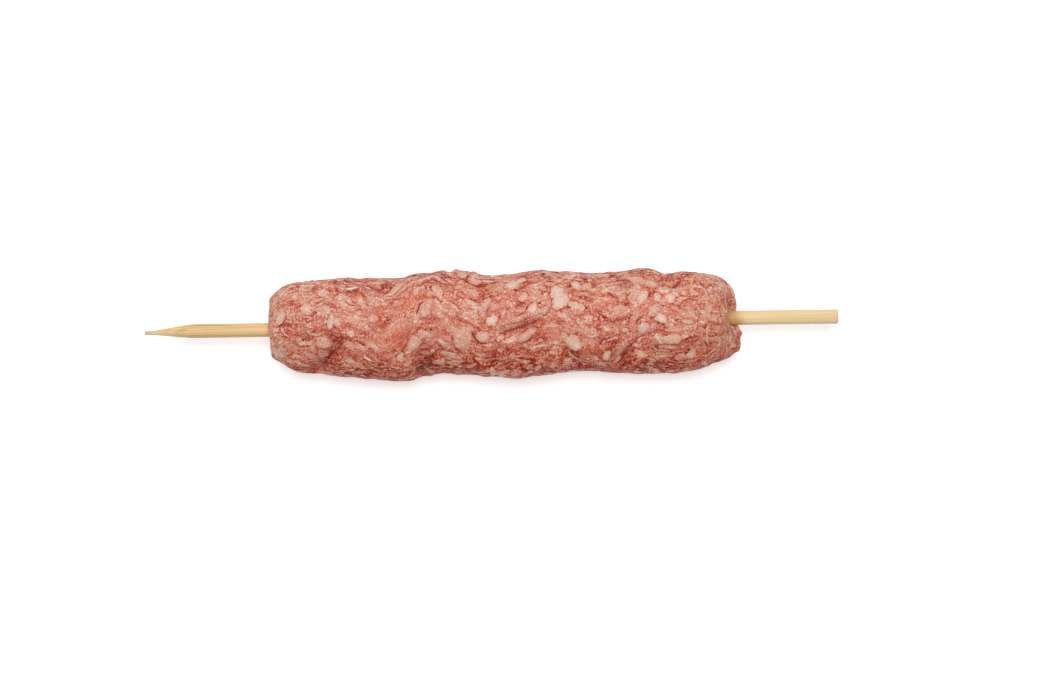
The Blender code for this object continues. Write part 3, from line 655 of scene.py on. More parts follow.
def make_skin():
    """Even rings from one mouth of the bore to the other, and columns that crowd on the top."""
    outside = PROFILE_ALONG[PROFILE_SHARE > MOUTH_SHARE]
    along = np.linspace(outside[0], outside[-1], MEAT_RINGS)
    turn = even_turn(MEAT_SIDES)
    around = turn - TOP_CROWDING * np.sin(turn)
    return Skin(along[:, None], np.interp(along, PROFILE_ALONG, PROFILE_SHARE)[:, None], around)


def field_of(skin, value):
    """A field over the whole skin that has one value everywhere."""
    return np.full((len(skin.along), len(skin.around)), float(value))


def plain_loaf(skin):
    """The meat before any lump: a slumped oval section, swept along the bowed stick."""
    x = np.interp(skin.along, PROFILE_ALONG, PROFILE_X)
    upper = np.cos(skin.around) > 0
    height = np.where(upper, HEIGHT_OVER_AXIS, DEPTH_UNDER_AXIS) * np.cos(skin.around)
    z = skin.share * height
    aside = bow(x) + sway(x) * smooth_step(skin.share, 0, 1)
    y = skin.share * HALF_WIDTH * np.sin(skin.around) + aside
    near_end = smooth_step(x, MEAT_RIGHT - SHOULDER_LENGTH, MEAT_RIGHT)
    lean = END_LEAN * near_end * smooth_step(z, LEAN_FOOT, LEAN_HEAD)
    return np.stack([x - lean, y, z + STICK_HEIGHT], axis=-1)


def outward(points):
    """Unit normals of a grid of rings, from the cross product of its two directions."""
    lengthwise = np.gradient(points, axis=0)
    girthwise = np.roll(points, -1, axis=1) - np.roll(points, 1, axis=1)
    normal = np.cross(lengthwise, girthwise)
    return normal / np.maximum(np.linalg.norm(normal, axis=-1, keepdims=True), 1e-12)


def from_above(x, y):
    """The (along, around) place seen at x, y by someone who looks straight down on the meat."""
    plain_x = x + END_LEAN * smooth_step(x, MEAT_RIGHT - SHOULDER_LENGTH, MEAT_RIGHT)
    plain_x = np.clip(plain_x, MEAT_LEFT, MEAT_RIGHT)
    along = np.interp(plain_x, PROFILE_X, PROFILE_ALONG)
    share = np.interp(plain_x, PROFILE_X, PROFILE_SHARE)
    across = (y - bow(x) - sway(x)) / (HALF_WIDTH * max(share, LEAST_SHARE))
    return float(along), math.degrees(math.asin(np.clip(across, -MOST_ACROSS, MOST_ACROSS)))


def seen_share(around):
    """How much shorter a distance round the section looks from above, at an angle in degrees."""
    return max(math.cos(math.radians(around)), LEAST_SEEN)


def line_from_above(places):
    """A line seen from above, as places on the surface, and how much narrower it looks from there."""
    line = tuple(from_above(*place) for place in places)
    return line, seen_share(sum(around for _, around in line) / len(line))


def near(skin, low, high):
    """The rings between two distances along, and the part of the grid that they hold."""
    rings = slice(*np.searchsorted(skin.along[:, 0], (low, high)))
    return rings, Skin(skin.along[rings], skin.share[rings], skin.around)


def turn_from(skin, around):
    """How far each column is turned from an angle in degrees, by the shorter way, in radians."""
    return (skin.around - math.radians(around) + math.pi) % (2 * math.pi) - math.pi


def away_from(skin, along, around):
    """Distances from a place, lengthwise and round the section, which shrinks towards the poles."""
    turn = turn_from(skin, around)
    return skin.along - along + 0 * turn, turn * skin.share * HALF_WIDTH


def turned(u, v, degrees):
    """Two distances measured in directions that are turned on the surface."""
    c, s = math.cos(math.radians(degrees)), math.sin(math.radians(degrees))
    return u * c + v * s, v * c - u * s


def swell_height(skin, swell):
    """A bell-shaped bulge with two half lengths, turned on the surface."""
    u, v = turned(*away_from(skin, swell.along, swell.around), swell.turn)
    return swell.height * np.exp(-((u / swell.length) ** 2 + (v / swell.girth) ** 2))


def knobs():
    """Small bulges and dents spread evenly over the skin, with seeded sizes."""
    draw = np.random.default_rng(KNOB_SEED)
    golden = 180 * (3 - math.sqrt(5))
    places = np.linspace(PROFILE_ALONG[0], PROFILE_ALONG[-1], KNOB_COUNT)
    for number, place in enumerate(places):
        length, girth = draw.uniform(*KNOB_SIZES, 2)
        height = draw.uniform(-KNOB_HEIGHT, KNOB_HEIGHT)
        turn = draw.uniform(-KNOB_TURN, KNOB_TURN)
        yield Swell(place, number * golden % 360 - 180, length, girth, height, turn)


def line_field(skin, places):
    """Signed distance from a bent line, positive on its left, and the share of its length gone by."""
    nearest = field_of(skin, np.inf)
    signed = np.zeros_like(nearest)
    gone = np.zeros_like(nearest)
    legs = len(places) - 1
    for leg in range(legs):
        (a0, r0), (a1, r1) = places[leg : leg + 2]
        run, rise = a1 - a0, math.radians(r1 - r0) * HALF_WIDTH
        u, v = away_from(skin, a0, r0)
        t = np.clip((u * run + v * rise) / (run * run + rise * rise), 0, 1)
        away = np.hypot(u - t * run, v - t * rise)
        closer = away < nearest
        side = np.where(run * v - rise * u >= 0, 1, -1)
        nearest = np.where(closer, away, nearest)
        signed = np.where(closer, away * side, signed)
        gone = np.where(closer, (leg + t) / legs, gone)
    return signed, gone


def valley_depth(skin, valley):
    """A groove with a bell-shaped section along a bent line, running out at both ends."""
    away, gone = line_field(skin, valley.places)
    fade = np.clip(np.minimum(gone, 1 - gone) / VALLEY_RUN_OUT, 0, 1)
    return -valley.depth * fade * np.exp(-((away / valley.width) ** 2))


def chunk_height(skin, chunk):
    """A low dome with an oval outline."""
    u, v = turned(*away_from(skin, chunk.along, chunk.around), chunk.turn)
    radius = np.hypot(2 * u / chunk.length, 2 * v / chunk.width)
    return CHUNK_HEIGHT * np.clip(1 - radius**4, 0, 1)


def main_relief(skin):
    """The lumps, folds and large pieces of fat that the solid has too."""
    height = field_of(skin, 0)
    for swell in (*SWELLS, *RAGGED, *knobs()):
        height += swell_height(skin, swell)
    for valley in VALLEYS:
        height += valley_depth(skin, valley)
    for chunk in CHUNKS:
        height += chunk_height(skin, chunk)
    return height


def grain_relief(loaf):
    """The mincer's grain: lattice noise of four sizes, and strands drawn out along the stick."""
    drift = DRIFT_AMOUNT * lattice_noise(loaf, DRIFT_SIZE, DRIFT_SEED)[..., None]
    strands = lattice_noise((loaf + drift) / STRAND_SHAPE, STRAND_SIZE, STRAND_SEED)
    flank = smooth_step(abs(loaf[..., 1]), *FLANKS)
    strands *= STRAND_HEIGHT * (TOP_STRANDS + (1 - TOP_STRANDS) * flank)
    return layered_noise(loaf, GRAINS, GRAIN_SEED) + strands


class Bit(NamedTuple):
    """A piece of fat on the surface, with the squash that makes it look right from above."""

    along: float
    around: float
    length: float
    width: float
    turn: float
    tone: float
    squash: float = 1.0


def top_bits():
    """The pieces of fat that are listed, as places on the surface."""
    for piece in TOP_FAT:
        along, around = from_above(piece.x, piece.y)
        yield Bit(along, around, *piece[2:], seen_share(around))


def loose_bits(taken):
    """Seeded pieces of fat all round: large ones out of the picture's view, small ones everywhere."""
    draw = np.random.default_rng(FAT_SEED)
    low, high = PROFILE_ALONG[0] + FAT_MARGIN, PROFILE_ALONG[-1] - FAT_MARGIN
    for number in range(LARGE_FAT + SMALL_FAT):
        large = number < LARGE_FAT
        along, around = draw.uniform(low, high), draw.uniform(-180, 180)
        spread = draw.uniform(0, 1)
        length = LEAST_FAT_LENGTH + (SMALL_FAT_LENGTH - LEAST_FAT_LENGTH) * spread
        if large:
            length = SMALL_FAT_LENGTH + LARGE_FAT_SPREAD * spread**LARGE_FAT_POWER
        width = max(length * draw.uniform(*FAT_WIDTHS), LEAST_FAT_WIDTH)
        turn, tone = draw.normal(0, FAT_TURN), draw.uniform(*FAT_TONES)
        shown = abs(around) < SHOWN_ANGLE and abs(along - SHOWN_MIDDLE) < SHOWN_REACH
        room = (length + FAT_GAP) / 2
        apart = all(
            math.hypot(along - bit.along, math.radians(around - bit.around) * HALF_WIDTH)
            > room + (bit.length + bit.width) / 4
            for bit in taken
        )
        if apart and not (large and shown):
            yield Bit(along, around, length, width, turn, tone)


def fat_fields(skin, wobble):
    """How far each place lies inside the nearest piece of fat, that piece's tone, and its rise."""
    draw = np.random.default_rng(FAT_SEED + 1)
    edge, tone, rise = field_of(skin, -FIELD_REACH), field_of(skin, 0), field_of(skin, 0)
    placed = list(top_bits())
    for bit in (*placed, *loose_bits(placed)):
        reach = bit.length + bit.width
        rings, part = near(skin, bit.along - reach, bit.along + reach)
        u, v = away_from(part, bit.along, bit.around)
        u, v = turned(u, v * bit.squash, bit.turn)
        egg = draw.uniform(-FAT_EGG, FAT_EGG)
        u, v = 2 * u / bit.length, 2 * v / bit.width * (1 + egg * np.clip(2 * u / bit.length, -1, 1))
        radius = (abs(u) ** FAT_SHAPE + abs(v) ** FAT_SHAPE) ** (1 / FAT_SHAPE)
        size = min(bit.length, bit.width) / 2
        uneven = wobble[rings] * min(EDGE_WOBBLE * size, MOST_WOBBLE)
        inside = np.clip((1 - radius) * size + uneven, -FIELD_REACH, FIELD_REACH)
        closer = inside > edge[rings]
        edge[rings] = np.where(closer, inside, edge[rings])
        tone[rings] = np.where(closer, bit.tone, tone[rings])
        height = FAT_RISE * draw.uniform(*FAT_RISES) * smooth_step(inside, *FAT_SHOULDER)
        rise[rings] = np.where(closer, height, rise[rings])
    return edge, tone, rise


def loose_lines(count, seed, reach):
    """Seeded short arcs all round the meat, mostly lengthwise, away from the shown top."""
    draw = np.random.default_rng(seed)
    for _ in range(count):
        along = draw.uniform(PROFILE_ALONG[0] + POLE_MARGIN, PROFILE_ALONG[-1] - POLE_MARGIN)
        around = draw.uniform(*HIDDEN_ANGLES)
        length, bend = draw.uniform(SHORTEST_LINE, reach), draw.uniform(-0.5, 0.5)
        turn = math.radians(draw.normal(0, LINE_TURN))
        steps = np.linspace(-0.5, 0.5, 5)
        u, v = steps * length, bend * length * (0.25 - steps**2)
        lengthwise = along + u * math.cos(turn) - v * math.sin(turn)
        girthwise = u * math.sin(turn) + v * math.cos(turn)
        angles = around + np.degrees(girthwise / HALF_WIDTH)
        yield tuple(zip(lengthwise.tolist(), angles.tolist()))


def line_fields(skin, lines, run_out, section):
    """The relief of bent lines, and the signed distance and strength of the nearest.

    Each line is its kind's entry, its places and how much narrower it looks, and the section gives its
    height by the distance from it. Both fade out over a share of the line at each end.
    """
    height, side, strong = field_of(skin, 0), field_of(skin, FIELD_REACH), field_of(skin, 0)
    for line, places, narrowing in lines:
        ends = [place[0] for place in places]
        rings, part = near(skin, min(ends) - LINE_MARGIN, max(ends) + LINE_MARGIN)
        away, gone = line_field(part, places)
        away = away * narrowing
        fade = smooth_step(np.minimum(gone, 1 - gone), 0, run_out)
        height[rings] += fade * section(line, away)
        closer = (abs(away) < abs(side[rings])) & (abs(away) < FIELD_REACH)
        side[rings] = np.where(closer, away, side[rings])
        strength = line.strength * fade * (1 - smooth_step(abs(away), LINE_FADE, FIELD_REACH))
        strong[rings] = np.where(closer, strength, strong[rings])
    return height, side, strong


def crease_section(crease, away):
    """A bell-shaped groove, with a lip on its left that falls away from it exponentially."""
    groove = -crease.depth * np.exp(-((away / CRACK_WIDTH) ** 2))
    lip = crease.lip * smooth_step(away, *LIP_EDGE) * np.exp(-np.maximum(away, 0) / LIP_FALL)
    return groove + lip


def film_section(film, away):
    """A low bell-shaped ridge."""
    return FILM_HEIGHT * np.exp(-((away / FILM_WIDTH) ** 2))


def crease_fields(skin):
    """The fields of every crack, those listed first."""
    draw = np.random.default_rng(CREASE_SEED)
    creases = [(crease, *line_from_above(crease.places)) for crease in TOP_CREASES]
    for places in loose_lines(LOOSE_CREASES, CREASE_SEED + 1, LONGEST_CREASE):
        depth, lip = draw.uniform(*LOOSE_DEPTHS), draw.uniform(*LOOSE_LIPS)
        crease = Crease(places, depth, lip, draw.uniform(*LOOSE_STRENGTHS))
        creases.append((crease, places, 1.0))
    return line_fields(skin, creases, CREASE_RUN_OUT, crease_section)


def film_fields(skin):
    """The fields of every raised film, those listed first."""
    films = [(film, *line_from_above(film.places)) for film in TOP_FILMS]
    for places in loose_lines(LOOSE_FILMS, CREASE_SEED + 2, LONGEST_FILM):
        films.append((Film(places, LOOSE_FILM_STRENGTH), places, 1.0))
    return line_fields(skin, films, FILM_RUN_OUT, film_section)


def patch_field(skin, patches):
    """Soft ovals, each falling off as exp(-radius^3), added up."""
    field = field_of(skin, 0)
    for patch in patches:
        along, around = from_above(patch.x, patch.y)
        u, v = away_from(skin, along, around)
        u, v = turned(u, v * seen_share(around), patch.turn)
        oval = np.exp(-((u / patch.length) ** 2 + (v / patch.width) ** 2) ** 1.5)
        field += patch.amount * oval
    return field


def flow_field(points):
    """How far the strands are bent towards +Y: bell-shaped bumps, as seen from above, added up."""
    field = np.zeros(points.shape[:2])
    for bump in FLOWS:
        u, v = (points[..., 0] - bump.x) / bump.length, (points[..., 1] - bump.y) / bump.width
        field += bump.amount * np.exp(-(u * u + v * v))
    return field


def spread(field, times):
    """A field with each value averaged with its neighbours, again and again."""
    for _ in range(times):
        field = (field + np.roll(field, 1, 1) + np.roll(field, -1, 1)) / 3
        padded = np.concatenate([field[:1], field, field[-1:]])
        field = (padded[:-2] + padded[1:-1] + padded[2:]) / 3
    return field


def surface_piece(name, points, faces, fields, material):
    """One smooth mesh piece from points in mm, with a value for each point in each named field."""
    mesh = bpy.data.meshes.new(name)
    mesh.from_pydata((points * MM).tolist(), [], faces)
    for field, values in fields.items():
        attribute = mesh.attributes.new(field, "FLOAT", "POINT")
        attribute.data.foreach_set("value", np.ascontiguousarray(values, np.float32))
    mesh.materials.append(material)
    mesh.shade_smooth()
    piece = bpy.data.objects.new(name, mesh)
    bpy.context.scene.collection.objects.link(piece)
    return piece


def ring_faces(rings, sides, closed):
    """Quads between rings of points that follow each other, and from the last to the first if closed."""
    corner = np.arange(rings * sides).reshape(rings, sides)
    beside = np.roll(corner, -1, axis=1)
    after, after_beside = np.roll(corner, -1, axis=0), np.roll(beside, -1, axis=0)
    faces = np.stack([corner, after, after_beside, beside], axis=-1)
    return faces[: rings if closed else rings - 1].reshape(-1, 4)


def capped_faces(rings, sides, start=0):
    """The quads of an open tube of rings, and a flat face over each of its ends."""
    faces = (ring_faces(rings, sides, closed=False) + start).tolist()
    last = start + (rings - 1) * sides
    return [*faces, list(range(start, start + sides)), list(range(last, last + sides))[::-1]]


def on_stick(x, around):
    """The points of the stick's own round surface at x and at angles from the top."""
    radius = stick_radius(x)
    y = radius * np.sin(around) + bow(x)
    return np.stack([x, y, radius * np.cos(around) + STICK_HEIGHT], axis=-1)


def bore_rings(first, last, around):
    """Rings on the stick's own surface, from one mouth of the bore back to the other."""
    return on_stick(np.linspace(first, last, BORE_RINGS + 2)[1:-1], around)


def make_meat():
    """The meat: the plain loaf pushed out by all its relief, its bore closed round the stick."""
    skin = make_skin()
    loaf = plain_loaf(skin)
    main = main_relief(skin)
    wobble = layered_noise(loaf, WOBBLES, WOBBLE_SEED)
    fat_edge, fat_tone, fat_rise = fat_fields(skin, wobble)
    crease_height, crease_side, crease_dark = crease_fields(skin)
    film_height, film_side, film_pale = film_fields(skin)
    fine = grain_relief(loaf) + fat_rise + crease_height + film_height
    mouth = smooth_step(skin.share, MOUTH_SHARE, MOUTH_BLEND)
    height = main + fine * mouth
    points = loaf + outward(loaf) * height[..., None]

    closed = on_stick(points[..., 0], skin.around)
    points = closed + (points - closed) * mouth[..., None]
    points[..., 2] = (points[..., 2] + np.hypot(points[..., 2], FOOT_ROUNDING)) / 2

    bore = bore_rings(points[-1, :, 0], points[0, :, 0], skin.around)
    whole = np.concatenate([points, bore])
    dip = spread(height, WIDE_SPREAD) - spread(height, NARROW_SPREAD)
    fields = {
        "fat_edge": fat_edge,
        "fat_tone": fat_tone,
        "crease_side": crease_side,
        "crease_dark": crease_dark,
        "film_side": film_side,
        "film_pale": film_pale,
        "red": patch_field(skin, RED_PATCHES),
        "coarse": patch_field(skin, COARSE_PATCHES),
        "yellow": patch_field(skin, YELLOW_PATCHES),
        "deep": patch_field(skin, SHADE_PATCHES),
        "flow": flow_field(points),
        "hollow": np.clip(HOLLOW_SCALE * dip, -1, 1),
    }
    padding = np.zeros((BORE_RINGS, MEAT_SIDES))
    fields = {name: np.concatenate([field, padding]).ravel() for name, field in fields.items()}
    faces = ring_faces(len(whole), MEAT_SIDES, closed=True).tolist()
    piece = surface_piece("pressed_mince", whole.reshape(-1, 3), faces, fields, raw_mince())
    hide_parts("minced_meat")
    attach(piece, "root")
    return skin, points


def make_stick():
    """The bamboo stick: a whittled point that swells to the full round, and a square cut end.

    The point's radius grows from the tip's by the S-curve 3 t^2 - 2 t^3 of the share t along it, and its
    middle comes back to the axis by the same curve. Fine fibres stand on the round, and the cut end's
    rings shrink to its middle.
    """
    share = np.linspace(0, 1, POINT_RINGS)
    point_x = STICK_LEFT + POINT_LENGTH * share
    growth = smooth_step(share, 0, 1)
    tip = POINT_TIP_DIAMETER / 2
    point_radius = tip + (stick_radius(point_x) - tip) * growth
    body_x = np.linspace(STICK_LEFT + POINT_LENGTH, STICK_RIGHT - CUT_CHAMFER, STICK_RINGS)[1:]
    cut_share = np.linspace(1, CENTRE_SHARE, CUT_RINGS)
    cut_radius = (stick_radius(STICK_RIGHT) - CUT_CHAMFER) * cut_share
    blunt = np.linspace(*TIP_SHARES, TIP_RINGS)
    x = np.concatenate([STICK_LEFT + 0 * blunt, point_x, body_x, STICK_RIGHT + 0 * cut_share])
    radius = np.concatenate([tip * blunt, point_radius, stick_radius(body_x), cut_radius])
    offset = np.zeros(len(x))
    offset[:TIP_RINGS] = -POINT_OFFSET
    offset[TIP_RINGS : TIP_RINGS + POINT_RINGS] = -POINT_OFFSET * (1 - growth)
    turn = even_turn(STICK_SIDES)
    x, radius, offset = x[:, None], radius[:, None], offset[:, None]

    ring = np.stack(np.broadcast_arrays(x / FIBRE_STRETCH, 2 * np.cos(turn), 2 * np.sin(turn)), axis=-1)
    fibre = -FIBRE_SINK
    for seed, (size, amount, cuts) in enumerate(FIBRES, FIBRE_SEED):
        fibre = fibre + amount * lattice_noise(ring * (cuts, 1, 1), size, seed)
    number = np.arange(len(x))[:, None]
    on_side = (number >= TIP_RINGS) & (number < len(x) - CUT_RINGS)
    radius = radius + FIBRE_HEIGHT * fibre * on_side
    y = radius * np.sin(turn) + bow(x) + offset
    z = radius * np.cos(turn) + STICK_HEIGHT
    points = np.stack([x + 0 * turn, y, z], axis=-1)
    rough = lattice_noise(points[-CUT_RINGS:], CUT_GRAIN, CUT_SEED) - 1
    points[-CUT_RINGS:, :, 0] += CUT_ROUGHNESS * rough * (cut_share < 1)[:, None]

    faces = capped_faces(len(x), STICK_SIDES)
    piece = surface_piece("kebab_stick", points.reshape(-1, 3), faces, {}, bamboo())
    piece.data.set_sharp_from_angle(angle=math.radians(SHARP_ANGLE))
    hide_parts("bamboo_stick")
    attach(piece, "root")


def make_pepper(skin, points):
    """Crushed pepper pressed into the meat: lumpy little balls, flattened along the surface's normal."""
    draw = np.random.default_rng(PEPPER_SEED)
    places = [(*from_above(x, y), size) for x, y, size in TOP_PEPPER]
    while len(places) < PEPPER_COUNT:
        along, around = draw.uniform(*PEPPER_SPAN), draw.uniform(0, 360)
        if any(low < around < high for low, high in PEPPER_SIDES):
            places.append((along, around, draw.uniform(*PEPPER_SIZES)))
    normals = outward(points)
    tilt = np.pi * (np.arange(PEPPER_ROWS) + 0.5)[:, None] / PEPPER_ROWS
    turn = even_turn(PEPPER_COLUMNS)
    ball = np.stack([np.sin(tilt) * np.cos(turn), np.sin(tilt) * np.sin(turn), np.cos(tilt) + 0 * turn], -1)
    grains, faces = [], []
    for number, (along, around, size) in enumerate(places):
        ring = np.argmin(abs(skin.along[:, 0] - along))
        column = np.argmin(abs(turn_from(skin, around)))
        normal = normals[ring, column]
        across = np.cross(normal, (1.0, 0.0, 0.0))
        across /= np.linalg.norm(across)
        axes = np.stack([np.cross(across, normal), across, normal * PEPPER_FLATNESS])
        lumpy = ball * (1 + draw.uniform(-PEPPER_LUMPS, PEPPER_LUMPS, ball.shape[:2]))[..., None]
        stretch = (*(draw.uniform(*span) for span in PEPPER_STRETCHES), 1.0)
        grains.append((lumpy * stretch * size) @ axes + points[ring, column])
        faces += capped_faces(PEPPER_ROWS, PEPPER_COLUMNS, number * PEPPER_ROWS * PEPPER_COLUMNS)
    whole = np.concatenate(grains).reshape(-1, 3)
    piece = surface_piece("crushed_pepper", whole, faces, {}, black_pepper())
    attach(piece, "root")


class Wire:
    """A socket of a material's nodes, or its empty start. Sums and products of wires and numbers add
    their Math nodes, and every other node comes from add().
    """

    def __init__(self, tree, socket=None):
        self.tree = tree
        self.socket = socket

    def add(self, kind, settings=(), inputs=(), output=0):
        """A new node: its settings first, then the values or links of its sockets, by name or number."""
        node = self.tree.nodes.new(kind)
        for name, value in dict(settings).items():
            if name == "stops":
                self.set_stops(node.color_ramp, value)
            else:
                setattr(node, name, value)
        for key, value in dict(inputs).items():
            socket = node.inputs[key] if isinstance(key, int) else self.named(node.inputs, key)
            if isinstance(value, Wire):
                self.tree.links.new(value.socket, socket)
            else:
                socket.default_value = value
        outputs = node.outputs
        return Wire(self.tree, outputs[output] if isinstance(output, int) else self.named(outputs, output))

    @staticmethod
    def set_stops(ramp, stops):
        """The places and colours of a ramp's stops, which take the place of its first two."""
        while len(ramp.elements) < len(stops):
            ramp.elements.new(1.0)
        for element, (position, colour) in zip(ramp.elements, stops):
            element.position = position
            element.color = (*colour, 1.0)

    @staticmethod
    def named(sockets, key):
        """The first of some sockets that has this identifier or name."""
        return next(socket for socket in sockets if key in (socket.identifier, socket.name))

    def maths(self, operation, first, second):
        """A Math node of two values."""
        return self.add("ShaderNodeMath", {"operation": operation}, {0: first, 1: second})

    def __add__(self, other):
        return self.maths("ADD", self, other)

    __radd__ = __add__

    def __sub__(self, other):
        return self.maths("SUBTRACT", self, other)

    def __rsub__(self, other):
        return self.maths("SUBTRACT", other, self)

    def __mul__(self, other):
        return self.maths("MULTIPLY", self, other)

    __rmul__ = __mul__

    def __truediv__(self, other):
        return self.maths("DIVIDE", self, other)

    def __abs__(self):
        return self.maths("ABSOLUTE", self, 0)

    def rise(self, low, high):
        """0 up to low, 1 from high on, and an S-curve between them, or the reverse if low is higher."""
        start, end = (0.0, 1.0) if low < high else (1.0, 0.0)
        inputs = {"Value": self, "From Min": min(low, high), "From Max": max(low, high)}
        inputs |= {"To Min": start, "To Max": end}
        return self.add("ShaderNodeMapRange", {"interpolation_type": "SMOOTHSTEP"}, inputs)

    def field(self, name):
        """A value that the mesh holds for each point."""
        return self.add("ShaderNodeAttribute", {"attribute_name": name}, {}, "Fac")

    def place(self):
        """The place on the piece, in mm."""
        return self.add("ShaderNodeTexCoord", {}, {}, "Object").scaled(1 / MM)

    def part(self, letter):
        """One direction of a vector."""
        return self.add("ShaderNodeSeparateXYZ", {}, {0: self}, letter)

    def draw(self, number):
        """One of the three values of a noise colour."""
        return self.add("ShaderNodeSeparateColor", {}, {0: self}, number)

    def scaled(self, factors):
        """A vector, each of its directions multiplied."""
        factors = factors if isinstance(factors, tuple) else (factors,) * 3
        return self.add("ShaderNodeVectorMath", {"operation": "MULTIPLY"}, {0: self, 1: factors})

    def moved(self, drift, amount):
        """A vector pushed about by a noise colour, which lies round 0.5."""
        centred = self.add("ShaderNodeVectorMath", {"operation": "SUBTRACT"}, {0: drift, 1: (0.5,) * 3})
        return self.add("ShaderNodeVectorMath", {"operation": "ADD"}, {0: self, 1: centred.scaled(amount)})

    def noise(self, size, detail=2.0, rough=0.5, output=0):
        """Blender's noise at this place, with lumps of about a size in mm."""
        inputs = {"Vector": self, "Scale": 1 / size, "Detail": detail, "Roughness": rough}
        return self.add("ShaderNodeTexNoise", {}, inputs, output)

    def cells(self, size, output="Distance"):
        """Blender's cells at this place, of about a size in mm."""
        return self.add("ShaderNodeTexVoronoi", {}, {"Vector": self, "Scale": 1 / size}, output)

    def blend(self, first, second, amount):
        """The colour that lies an amount of the way from one colour to another."""
        inputs = {"Factor_Float": amount, "A_Color": first, "B_Color": (*second, 1.0)}
        return self.add("ShaderNodeMix", {"data_type": "RGBA"}, inputs, "Result_Color")

    def tint(self, colour, amount):
        """This colour, moved an amount of the way to another one."""
        return self.blend(self, colour, amount)

    def bump(self, strength):
        """The normal that goes with this height in mm."""
        inputs = {"Strength": strength, "Distance": MM, "Height": self}
        return self.add("ShaderNodeBump", {}, inputs)


def new_material(name):
    """An empty node material, and a wire to build its nodes from."""
    made = bpy.data.materials.new(name)
    made.use_nodes = True
    made.node_tree.nodes.clear()
    return made, Wire(made.node_tree)


def finish_material(made, start, inputs, **constants):
    """Joins what changes over the surface to a Principled shader with its other sockets constant."""
    inputs = inputs | {name.replace("_", " "): value for name, value in constants.items()}
    shader = start.add("ShaderNodeBsdfPrincipled", {}, inputs)
    output = made.node_tree.nodes.new("ShaderNodeOutputMaterial")
    made.node_tree.links.new(shader.socket, output.inputs["Surface"])
    return made


